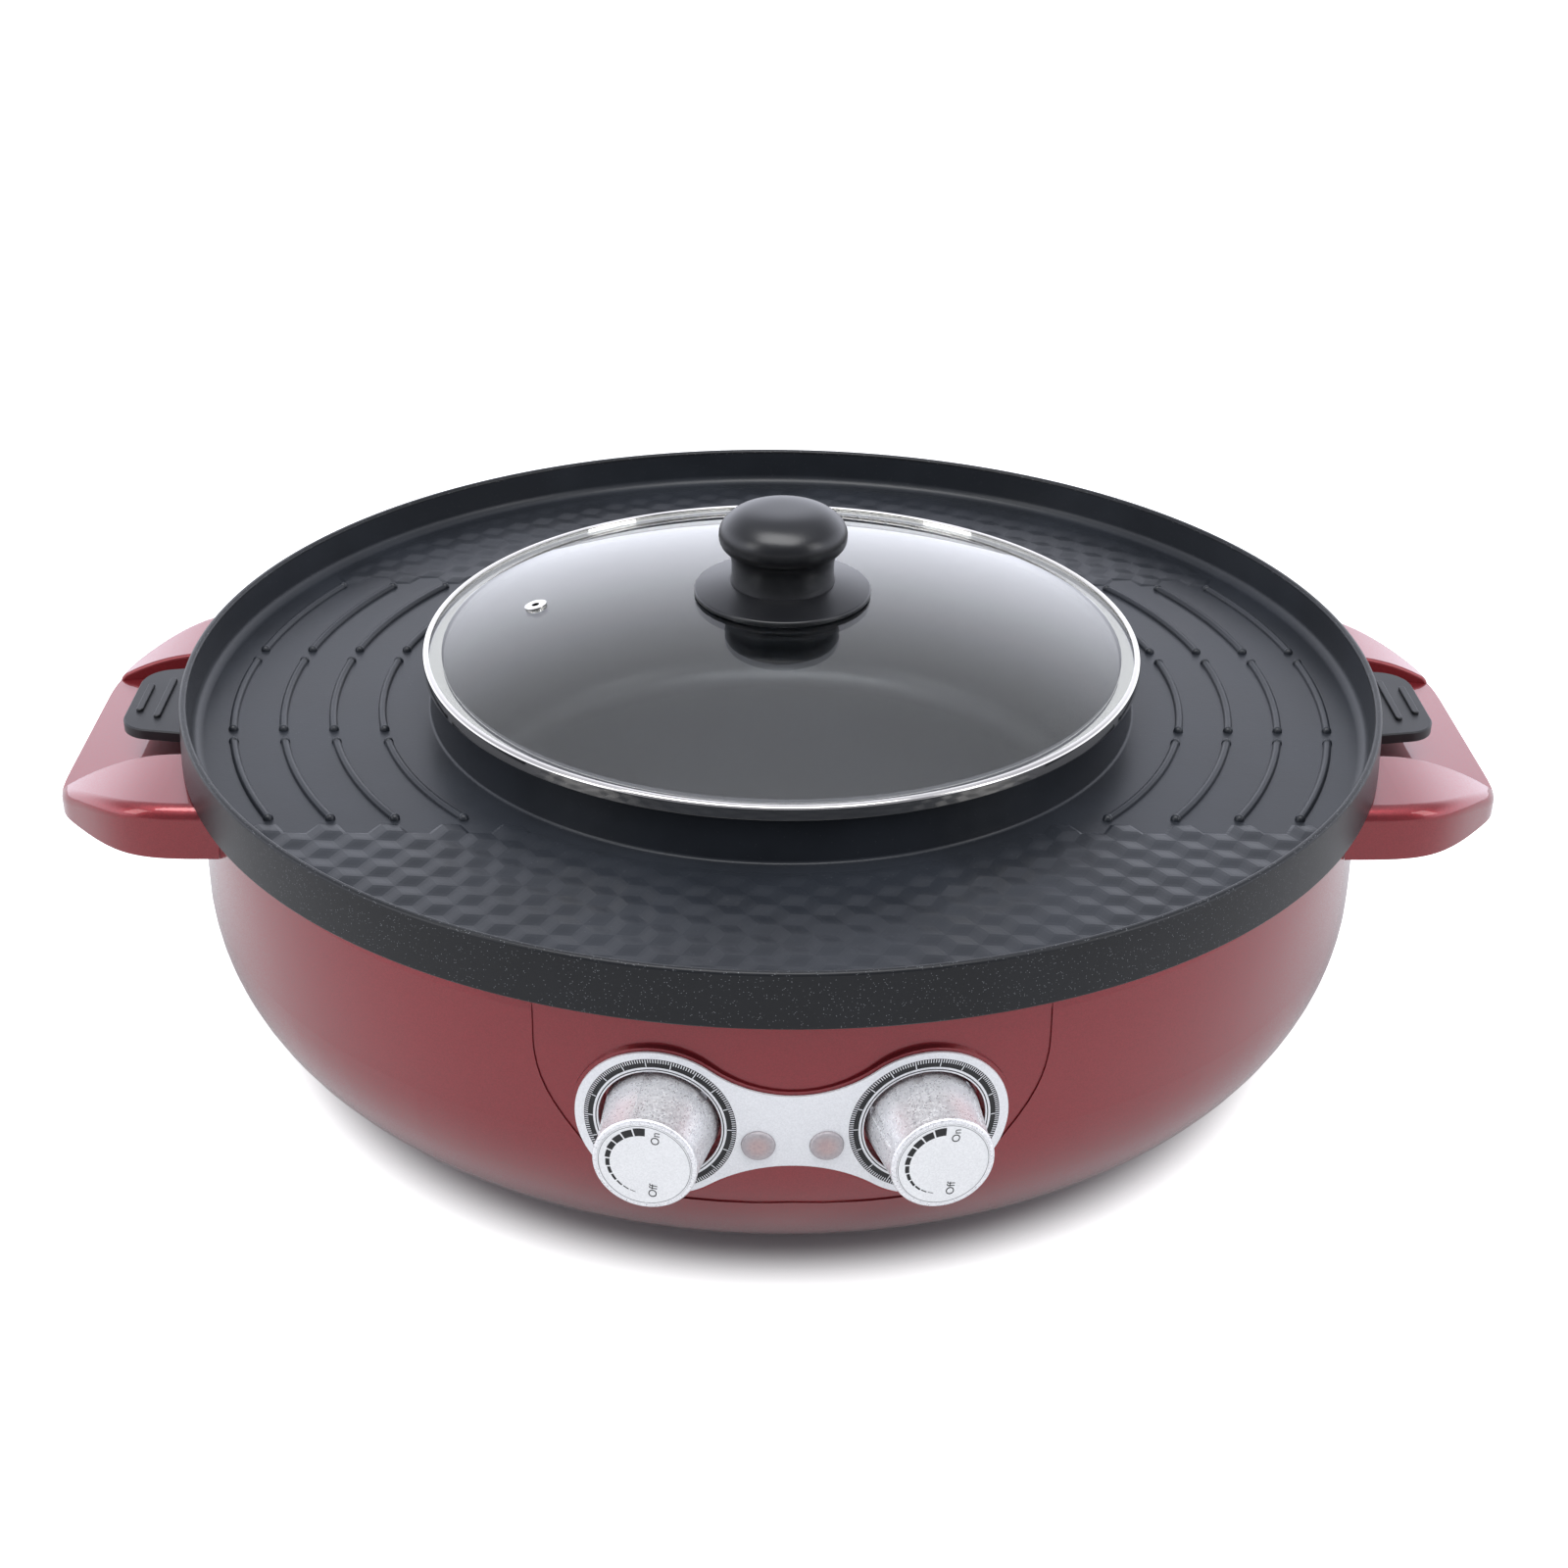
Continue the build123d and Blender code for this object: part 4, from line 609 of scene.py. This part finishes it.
def rib_tree(material):
    """Half-round bars along the centre lines, with a small bulb at each end."""
    graph, value = new_tree("grill_ribs", Width=0.0030, Height=0.0016, Bulb=0.0019,
                            Material=material)
    line = graph.node("GeometryNodeMeshToCurve", {}, [value["Geometry"]])
    ring = graph.node("GeometryNodeCurvePrimitiveCircle", {}, {
        "Resolution": 14, "Radius": value["Width"] / 2})
    bars = graph.node("GeometryNodeCurveToMesh", {}, {
        "Curve": line, "Profile Curve": ring, "Fill Caps": True})
    ends = graph.node("GeometryNodeCurveEndpointSelection", {}, {"Start Size": 1, "End Size": 1})
    ball = graph.node("GeometryNodeMeshUVSphere", {}, {
        "Segments": 14, "Rings": 8, "Radius": value["Bulb"]})
    bulbs = graph.node("GeometryNodeInstanceOnPoints", {}, {
        "Points": line, "Selection": ends, "Instance": ball})
    solid = graph.node("GeometryNodeRealizeInstances", {}, [graph.join(bars, bulbs)])
    x, y, z = graph.parts(graph.node("GeometryNodeInputPosition"))
    rise = (z - TROUGH_FLOOR * MM) * value["Height"] / (value["Width"] / 2)
    low = graph.node("GeometryNodeSetPosition", {}, {
        "Geometry": solid, "Position": graph.vector(x, y, rise + TROUGH_FLOOR * MM)})
    # The lower half goes, apart from what stays sunk in the trough's floor.
    shown = graph.node("GeometryNodeDeleteGeometry", {}, {
        "Geometry": low, "Selection": rise.below(-0.0006)})
    return close_tree(graph, shown, value["Material"])


def relief_cell(sizes):
    """One six-sided cell of the relief: a peak whose corners lie low and lower in turn."""
    side, height, fine = sizes.cell, sizes.relief, 4
    corners = [Vector((side * cos(k * pi / 3), side * sin(k * pi / 3), (0.0, -height)[k % 2]))
               for k in range(6)]
    peak = Vector((0, 0, height))
    verts, faces = [], []
    for k in range(6):
        left, right = corners[k], corners[(k + 1) % 6]
        index = {}
        for i in range(fine + 1):
            for j in range(fine + 1 - i):
                index[i, j] = len(verts)
                verts.append(peak + (left - peak) * i / fine + (right - peak) * j / fine)
        for i in range(fine):
            for j in range(fine - i):
                faces.append((index[i, j], index[i + 1, j], index[i, j + 1]))
                if i + j < fine - 1:
                    faces.append((index[i + 1, j], index[i + 1, j + 1], index[i, j + 1]))
    return mesh_of(verts, faces, "relief_cell")


def relief_tree(material):
    """Cells side by side over one end of the trough, softened and faded out at its edges."""
    graph, value = new_tree("relief", Cell=0.00693, Height=0.00044, Side=1.0, Near=0.11,
                            Inner=0.1375, Outer=0.2135, Fade=0.004, Material=material)
    across, along = value["Cell"] * 1.5, value["Cell"] * sqrt(3)
    points = graph.node("GeometryNodeMeshGrid", {}, {
        "Size X": across * RELIEF_COLUMNS, "Size Y": along * RELIEF_ROWS,
        "Vertices X": RELIEF_COLUMNS + 1, "Vertices Y": RELIEF_ROWS + 1})
    x, y, z = graph.parts(graph.node("GeometryNodeInputPosition"))
    odd = (x / across + 0.25).maths("FLOORED_MODULO", 2.0).above(1.0)
    centre = value["Side"] * (value["Near"] + RELIEF_MIDDLE)
    spread = graph.node("GeometryNodeSetPosition", {}, {
        "Geometry": points, "Position": graph.vector(x, y + odd * along / 2 + centre, 0.0)})
    inside = (y * value["Side"] - value["Near"]).above(0.0)
    laid = graph.node("GeometryNodeInstanceOnPoints", {}, {
        "Points": spread, "Selection": inside, "Instance": value["Geometry"]})
    whole = graph.node("GeometryNodeRealizeInstances", {}, [laid])
    whole = graph.node("GeometryNodeMergeByDistance", {}, {"Geometry": whole, "Distance": 0.00005})
    blurred = graph.node("GeometryNodeBlurAttribute", {"data_type": "FLOAT"}, {
        0: z, "Iterations": 1})
    soft = blurred * 0.6 + z * 0.4
    # A point on the outline of the field, where an edge has only one face.
    rim = graph.node("GeometryNodeFieldOnDomain", {"domain": "EDGE", "data_type": "FLOAT"}, [
        graph.node("GeometryNodeInputMeshEdgeNeighbors").below(1.5)]).above(0.01)
    reach = (x * x + y * y) ** 0.5
    edge = (reach - value["Inner"]).least(value["Outer"] - reach)
    share = (edge / value["Fade"]).clamped() * (1.0 - rim)
    # Just proud of the trough's floor in the field, and sunk in it at the outline.
    level = (soft + value["Height"] + 0.00003) * share - 0.00008 * (1.0 - share)
    shaped = graph.node("GeometryNodeSetPosition", {}, {
        "Geometry": whole, "Position": graph.vector(x, y, level + TROUGH_FLOOR * MM)})
    shown = graph.node("GeometryNodeDeleteGeometry", {}, {
        "Geometry": shaped, "Selection": edge.below(-0.001)})
    return close_tree(graph, shown, value["Material"])


class HOTPOT_OT_pan(bpy.types.Operator):
    """Cast pan with its ring trough, pot, ribs, relief and drain"""

    bl_idname = "hotpot.pan"
    bl_label = "Cast pan"

    def execute(self, context):
        sizes, colours = context.scene.hotpot_sizes, context.scene.hotpot_colours
        coat = coated_casting(colours)
        pan = cut_hole(lathe(rounded(PAN, 4.5), 300), *DRAIN_PLACE, DRAIN_RADIUS, 110, 135)
        add_piece("pan_casting", pan, "pan", [coat], ["pan"], sharp=40)
        spout = lathe(SPOUT, 48)
        spout.transform(Matrix.Translation((DRAIN_PLACE[0] * MM, DRAIN_PLACE[1] * MM, 0.0)))
        add_piece("drain_spout", spout, "pan", [coat])
        ribs = run_nodes(rib_paths(sizes), rib_tree(coat), {
            "Width": sizes.rib_width, "Height": sizes.rib_height,
            "Bulb": sizes.rib_width * BULB_SHARE})
        add_piece("grill_ribs", ribs, "pan", [coat], sharp=60)
        relief = relief_tree(coat)
        for name, side, near in RELIEF_FIELDS:
            cells = run_nodes(relief_cell(sizes), relief, {
                "Cell": sizes.cell, "Height": sizes.relief, "Side": side, "Near": near})
            add_piece(name, cells, "pan", [coat], sharp=0)
        ear = black_plastic(colours, "ear_plastic", 0.42, 1200.0)
        for name in ("pan_ear_left", "pan_ear_right"):
            paint(name, ear)
        paint("ear_screws", plain_metal("screw_steel", (0.55, 0.55, 0.55), 0.35))
        return {"FINISHED"}


# ---------------------------------------------------------------- bowl
class HOTPOT_OT_bowl(bpy.types.Operator):
    """Red bowl with its side handles"""

    bl_idname = "hotpot.bowl"
    bl_label = "Bowl and handles"

    def execute(self, context):
        colours = context.scene.hotpot_colours
        red = red_lacquer(colours)
        for name in ("base_shell", "side_handle_left", "side_handle_right"):
            paint(name, red)
        paint("handle_screws", bpy.data.materials["screw_steel"])
        return {"FINISHED"}


# ---------------------------------------------------------------- controls
SCALE_BANDS = ((21.2, 24.2), (20.1, 20.45))     # dark band and thin line, inner and outer radius
FINE_TICK = {"Radius": 23.45, "Length": 1.25, "Width": 0.27}
LONG_TICK = {"Radius": 22.5, "Length": 2.3, "Width": 0.28}
CAP_LINE = (14.1, 14.3)
MARK_COUNT, MARK_RADIUS, MARK_START, MARK_GAP = 11, 10.7, 255.0, 2.4
MARK_WIDTHS = (0.22, 2.82)      # of the first and the last level mark
MARK_LENGTHS = (9.6, 16.4)
WORDS = (("On", 3.7, 10.2), ("Off", 2.7, -9.4))
WORD_TURN = 85.0
INK_LIFT, WORD_LIFT, FINE_LIFT, LONG_LIFT = 0.03, 0.04, 0.06, 0.07      # off the printed face


def plate_point(side, across, up, lift):
    """Point on the curved control plate, from a knob's axis, in metres."""
    azimuth = side * asin(KNOB_OFFSET / PLATE_RADIUS) + across / PLATE_RADIUS
    radius = (PLATE_RADIUS + lift) * MM
    return (radius * sin(azimuth), -radius * cos(azimuth), (KNOB_HEIGHT + up) * MM)


def cap_point(side, across, up, lift):
    """Point on the flat face of a knob's cap, in metres."""
    azimuth = side * asin(KNOB_OFFSET / PLATE_RADIUS)
    reach = PLATE_RADIUS + CAP_REACH + lift
    x = reach * sin(azimuth) + across * cos(azimuth)
    y = -reach * cos(azimuth) + across * sin(azimuth)
    return (x * MM, y * MM, (KNOB_HEIGHT + up) * MM)


def sector(inner, outer, start, end, step=2.0):
    """Flat ring sector as rows of (across, up) pairs, at angles from +X, anticlockwise."""
    count = max(1, ceil(abs(end - start) / step))
    rows = []
    for k in range(count + 1):
        a = radians(start + (end - start) * k / count)
        rows.append(((inner * cos(a), inner * sin(a)), (outer * cos(a), outer * sin(a))))
    return rows


def print_on(shapes):
    """Thin printed shapes, flat on XY in millimetres: each is a list of rows of two points."""
    verts, faces = [], []
    for rows in shapes:
        first = len(verts)
        for low, high in rows:
            verts += [(*low, 0.0), (*high, 0.0)]
        for k in range(len(rows) - 1):
            a = first + 2 * k
            faces.append((a, a + 1, a + 3, a + 2))
    return mesh_of(verts, faces)


def laid(mesh, place, side, lift):
    """Lays a flat print on the plate or on a cap, its face outwards."""
    for vertex in mesh.vertices:
        vertex.co = place(side, vertex.co.x, vertex.co.y, lift)
    mesh.update()
    centre = Vector(place(side, 0.0, 0.0, 0.0))
    out = Vector(place(side, 0.0, 0.0, 1.0)) - centre
    if sum(face.normal.dot(out) * face.area for face in mesh.polygons) < 0:
        mesh.flip_normals()
    return mesh


PLATE_FACE = (plate_point, "silver_plate")
CAP_FACE = (cap_point, "cap_silver")


def add_print(name, mesh, face, side, lift, body, ink):
    """Adds a flat print to the plate or to a cap, just off its face."""
    place, slot = face
    add_piece(name, laid(mesh, place, side, lift), body, [ink], sharp=0)


def tick_tree(material):
    """Short bars that point outwards, spaced evenly round a ring."""
    graph, value = new_tree("scale_ticks", Count=180, **FINE_TICK, Material=material)
    ring = graph.node("GeometryNodeMeshCircle", {}, {
        "Vertices": value["Count"], "Radius": value["Radius"]})
    x, y, _ = graph.parts(graph.node("GeometryNodeInputPosition"))
    bar = graph.node("GeometryNodeMeshGrid", {}, {
        "Size X": value["Length"], "Size Y": value["Width"], "Vertices X": 3, "Vertices Y": 2})
    ticks = graph.node("GeometryNodeInstanceOnPoints", {}, {
        "Points": ring, "Instance": bar, "Rotation": graph.vector(0.0, 0.0, y.maths("ARCTAN2", x))})
    return close_tree(graph, ticks, value["Material"])


def level_marks():
    """Blocks round a cap that grow in width and length from one to the next."""
    blocks, start = [], MARK_START
    for k in range(MARK_COUNT):
        share = k / (MARK_COUNT - 1)
        width = MARK_WIDTHS[0] + (MARK_WIDTHS[1] - MARK_WIDTHS[0]) * share ** 1.25
        length = MARK_LENGTHS[0] + (MARK_LENGTHS[1] - MARK_LENGTHS[0]) * share
        blocks.append(sector(MARK_RADIUS, MARK_RADIUS + width, start, start - length))
        start -= length + MARK_GAP
    return blocks


FONT_SHARE = 1.42               # size of the font over the height of its capitals


def word_print(text, height, x, y, turn):
    """A short word as a flat mesh on XY in millimetres, its middle at x, y."""
    letters = bpy.data.curves.new("word", "FONT")
    letters.body, letters.size = text, height / MM * FONT_SHARE
    letters.align_x, letters.align_y = "CENTER", "CENTER"
    holder = bpy.data.objects.new("word", letters)
    bpy.context.scene.collection.objects.link(holder)
    bpy.context.view_layer.update()
    graph = bpy.context.evaluated_depsgraph_get()
    made = bpy.data.meshes.new_from_object(holder.evaluated_get(graph), depsgraph=graph)
    bpy.data.objects.remove(holder)
    made.transform(Matrix.Translation((x, y, 0)) @ Matrix.Rotation(radians(turn), 4, "Z"))
    made.materials.clear()
    return made


class HOTPOT_OT_controls(bpy.types.Operator):
    """Control plate with its scales, lenses and knobs"""

    bl_idname = "hotpot.controls"
    bl_label = "Controls"

    def execute(self, context):
        sizes, colours = context.scene.hotpot_sizes, context.scene.hotpot_colours
        plate = silver_paint("plate_silver", tuple(colours.plate), 0.36, 0.05, 0.30)
        ink = plain_paint("black_ink", (0.006, 0.006, 0.007), 0.55)
        grey = plain_paint("grey_ink", (0.22, 0.22, 0.23), 0.45)
        pale = plain_paint("pale_ink", (0.80, 0.81, 0.82), 0.4)
        cap = silver_paint("cap_silver", tuple(colours.cap), 0.34, 0.08)
        knob = knob_plating(colours)
        paint("control_plate", plate)
        lens = frosted_lens(colours)
        tree = tick_tree(pale)
        for side, word in ((-1, "hotpot"), (1, "grill")):
            body = word + "_control"
            paint(word + "_knob", knob)
            paint(word + "_knob_cap", cap)
            paint(word + "_lamp_lens", lens)
            scale = print_on([sector(*radii, 0, 360) for radii in SCALE_BANDS])
            add_print(word + "_scale_ring", scale, PLATE_FACE, side, INK_LIFT, "base", ink)
            fine = run_nodes(print_on([]), tree, {"Count": sizes.fine_ticks, **FINE_TICK})
            add_print(word + "_fine_ticks", fine, PLATE_FACE, side, FINE_LIFT, "base", pale)
            long = run_nodes(print_on([]), tree, {"Count": sizes.long_ticks, **LONG_TICK})
            add_print(word + "_long_ticks", long, PLATE_FACE, side, LONG_LIFT, "base", pale)
            marks = print_on(level_marks())
            add_print(word + "_level_marks", marks, CAP_FACE, side, INK_LIFT, body, ink)
            line = print_on([sector(*CAP_LINE, 0, 360)])
            add_print(word + "_cap_line", line, CAP_FACE, side, INK_LIFT, body, grey)
            for text, x, y in WORDS:
                letters = word_print(text, sizes.letter, x, y, WORD_TURN)
                add_print(word + "_word_" + text.lower(), letters, CAP_FACE, side, WORD_LIFT,
                          body, ink)
        return {"FINISHED"}


# ---------------------------------------------------------------- lid
# Half sections, as ((r, z), corner radius): steel band and foot of the knob.
BAND = [
    ((134.1, 142.3), 0.5), ((134.1, 147.5), 1.2), ((131.7, 147.5), 0.35), ((131.7, 146.7), 0.2),
    ((133.3, 146.7), 0.0), ((133.3, 143.1), 0.0), ((126.8, 143.1), 0.0), ((126.8, 139.3), 0.0),
    ((127.6, 139.3), 0.0), ((127.6, 142.3), 0.0),
]
KNOB_FOOT = [
    ((33.0, 165.58), 0.4), ((33.0, 167.58), 0.9), ((20.0, 170.3), 2.0), ((2.7, 170.3), 0.0),
    ((2.7, 166.9), 0.0),
]


class HOTPOT_OT_lid(bpy.types.Operator):
    """Glass lid with its steel band, vent and knob"""

    bl_idname = "hotpot.lid"
    bl_label = "Lid"

    def execute(self, context):
        colours = context.scene.hotpot_colours
        paint("lid_glass", clear_glass(colours))
        steel = plain_metal("band_steel", tuple(colours.steel), 0.06, (40.0, 40.0, 3000.0), 0.04)
        band = lathe(rounded(BAND), 360)
        add_piece("lid_band", band, "lid", [steel], ["lid_rim"])
        paint("lid_vent_eyelet", steel)
        knob = black_plastic(colours, "knob_plastic", 0.30, level=0.6)
        paint("lid_knob", knob)
        foot = lathe(rounded(KNOB_FOOT), 128)
        add_piece("knob_foot", foot, "lid", [knob], ["lid_knob_skirt"])
        paint("lid_washer", knob)
        paint("lid_screw", bpy.data.materials["screw_steel"])
        return {"FINISHED"}


# ---------------------------------------------------------------- inside and underside
class HOTPOT_OT_inside(bpy.types.Operator):
    """Liner, heaters, inlet, cover, feet and oil tray"""

    bl_idname = "hotpot.inside"
    bl_label = "Inside and underside"

    def execute(self, context):
        colours = context.scene.hotpot_colours
        sheet = plain_metal("aluminised_sheet", (0.62, 0.62, 0.60), 0.42)
        tube = plain_metal("heater_tube", (0.13, 0.12, 0.115), 0.5)
        black = black_plastic(colours, "cover_plastic", 0.5, 700.0)
        pale = plain_paint("pale_plastic", (0.70, 0.68, 0.62), 0.45)
        rubber = plain_paint("foot_rubber", (0.02, 0.02, 0.02), 0.8)
        lamp = plain_paint("lamp_glass", (0.6, 0.3, 0.2), 0.2)
        screw = bpy.data.materials["screw_steel"]
        for material, names in (
            (sheet, ("heat_liner", "pot_liner", "drain_chute", "heater_clips")),
            (tube, ("grill_heater", "pot_heater")),
            (black, ("mains_inlet", "bottom_cover", "oil_tray_guide", "oil_tray")),
            (pale, ("hotpot_thermostat", "grill_thermostat", "thermal_fuse", "terminal_block")),
            (screw, ("thermostat_nuts", "hotpot_shaft", "grill_shaft", "inlet_pins",
                     "cover_screw_set")),
            (rubber, ("rubber_feet",)),
            (lamp, ("neon_lamps",)),
        ):
            for name in names:
                paint(name, material)
        return {"FINISHED"}


# ---------------------------------------------------------------- stage
FLOOR_GREY = 0.48
FLOOR_GLOW = 1.05
SHADOW_EDGE = (0.174, 0.206)    # in metres, where the floor starts to turn white and where it is
ROOM_TINT = (0.94, 0.965, 1.08)
WHITE = (1.0, 1.0, 1.0)
LIGHT_TARGET = (0.0, 0.0, 0.1)
CAMERA_PLACE = (-0.019687, -0.805542, 0.517782)
CAMERA_RIGHT = (0.99972907, -0.01977574, 0.01227658)
CAMERA_UP = (-0.00143369, 0.47410681, 0.88046617)
CAMERA_BACK = (-0.02323228, -0.88024522, 0.47395)


def add_floor():
    """Floor that shows white, with a soft shadow under the bowl: the rendered shadow, plus a
    painted shadow where the glow is held back near the bowl.
    """
    grid = bmesh.new()
    bmesh.ops.create_grid(grid, x_segments=1, y_segments=1, size=3.0)
    mesh = bpy.data.meshes.new("floor")
    grid.to_mesh(mesh)
    grid.free()
    floor = bpy.data.objects.new("floor", mesh)
    bpy.context.scene.collection.objects.link(floor)
    material, graph, shader = finish("floor_white", base_color=(FLOOR_GREY,) * 3, roughness=0.9)
    x, y, _ = graph.parts(graph.place())
    # Painted shadow: inside SHADOW_EDGE the glow fades out, so the floor round the bowl is darker
    # whatever light reaches it.
    far = ((x * x + y * y) ** 0.5).fade(*SHADOW_EDGE)
    glow = graph.node("ShaderNodeEmission", {}, {
        "Color": (*WHITE, 1.0), "Strength": FLOOR_GLOW * far})
    seen = graph.ray("Is Camera Ray") + graph.ray("Is Transmission Ray") \
        + 0.15 * graph.ray("Is Glossy Ray")
    plain = Value(graph, shader.outputs[0])
    both = graph.node("ShaderNodeAddShader", {}, [plain, glow])
    mixed = graph.node("ShaderNodeMixShader", {}, [seen.clamped(), plain, both])
    leave = graph.tree.nodes["Material Output"]
    graph.tree.links.new(mixed.socket, leave.inputs["Surface"])
    mesh.materials.append(material)


def add_room(sky):
    """World that shows white, and lights the object as a room does."""
    world = bpy.data.worlds.new("room")
    bpy.context.scene.world = world
    world.use_nodes = True
    graph = Graph(world.node_tree)
    seen = graph.ray("Is Camera Ray") + graph.ray("Is Transmission Ray")
    x, y, z = graph.parts(graph.node("ShaderNodeTexCoord", output="Generated"))
    # Bright sheets low down behind and beside the object, and a softer ceiling.
    beside = (x * x + y.fade(-0.3, 0.5)).fade(0.35, 0.95)
    sheets = z.fade(0.80, 0.22) * beside
    room = (0.38 + 1.75 * sheets + 0.70 * z.fade(0.55, 0.92)) * sky
    strength = room + seen.clamped() * (1.0 - room)
    back = world.node_tree.nodes["Background"]
    graph.tree.links.new(graph.mix(seen.clamped(), ROOM_TINT, WHITE).socket, back.inputs["Color"])
    graph.tree.links.new(strength.socket, back.inputs["Strength"])


def area_light(name, place, width, depth, power):
    """Large soft light that looks at the object."""
    lamp = bpy.data.lights.new(name, "AREA")
    lamp.shape, lamp.size, lamp.size_y, lamp.energy = "RECTANGLE", width, depth, power
    thing = bpy.data.objects.new(name, lamp)
    bpy.context.scene.collection.objects.link(thing)
    thing.location = place
    aim = Vector(LIGHT_TARGET) - Vector(place)
    thing.rotation_euler = aim.to_track_quat("-Z", "Y").to_euler()


class HOTPOT_OT_stage(bpy.types.Operator):
    """White floor, soft studio light and the camera"""

    bl_idname = "hotpot.stage"
    bl_label = "Stage"

    def execute(self, context):
        stage = context.scene.hotpot_stage
        add_floor()
        add_room(stage.sky)
        area_light("above", (-0.1, -0.35, 1.5), 1.3, 0.7, stage.key)
        area_light("left", (-1.3, -0.7, 0.9), 0.5, 0.9, stage.fill)
        area_light("right", (1.3, -0.7, 0.9), 0.5, 0.9, stage.fill)

        data = bpy.data.cameras.new("camera")
        data.sensor_width, data.lens = 36.0, stage.lens
        data.clip_start, data.clip_end = 0.01, 20.0
        camera = bpy.data.objects.new("camera", data)
        context.scene.collection.objects.link(camera)
        turn = Matrix((CAMERA_RIGHT, CAMERA_UP, CAMERA_BACK)).transposed()
        camera.matrix_world = Matrix.Translation(CAMERA_PLACE) @ turn.to_4x4()
        context.scene.camera = camera
        context.scene.view_settings.view_transform = "Standard"
        return {"FINISHED"}


# ---------------------------------------------------------------- add-on
class HOTPOT_PT_panel(bpy.types.Panel):
    """Shows the hot pot's settings and a button for each of its steps in the sidebar"""

    bl_idname = "HOTPOT_PT_panel"
    bl_label = "Hot pot"
    bl_space_type = "VIEW_3D"
    bl_region_type = "UI"
    bl_category = "Hot pot"

    def draw(self, context):
        for group in ("hotpot_sizes", "hotpot_colours", "hotpot_stage"):
            settings = getattr(context.scene, group)
            box = self.layout.box()
            for key in settings.bl_rna.properties.keys():
                if key not in ("rna_type", "name"):
                    box.prop(settings, key)
        for operator in OPERATORS:
            self.layout.operator(operator.bl_idname)


GROUPS = {"hotpot_sizes": HOTPOT_PG_sizes, "hotpot_colours": HOTPOT_PG_colours,
          "hotpot_stage": HOTPOT_PG_stage}
OPERATORS = (HOTPOT_OT_pan, HOTPOT_OT_bowl, HOTPOT_OT_controls, HOTPOT_OT_lid, HOTPOT_OT_inside,
             HOTPOT_OT_stage)


def register():
    """Registers every class and puts the settings on the scene."""
    for group in (*GROUPS.values(), *OPERATORS, HOTPOT_PT_panel):
        bpy.utils.register_class(group)
    for name, group in GROUPS.items():
        setattr(bpy.types.Scene, name, bpy.props.PointerProperty(type=group))


def unregister():
    """Takes the settings off the scene and unregisters every class."""
    for name in GROUPS:
        delattr(bpy.types.Scene, name)
    for group in (HOTPOT_PT_panel, *reversed(OPERATORS), *GROUPS.values()):
        bpy.utils.unregister_class(group)


def main():
    """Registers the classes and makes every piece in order."""
    register()
    bpy.ops.hotpot.pan()
    bpy.ops.hotpot.bowl()
    bpy.ops.hotpot.controls()
    bpy.ops.hotpot.lid()
    bpy.ops.hotpot.inside()
    bpy.ops.hotpot.stage()


if __name__ == "__main__":
    main()
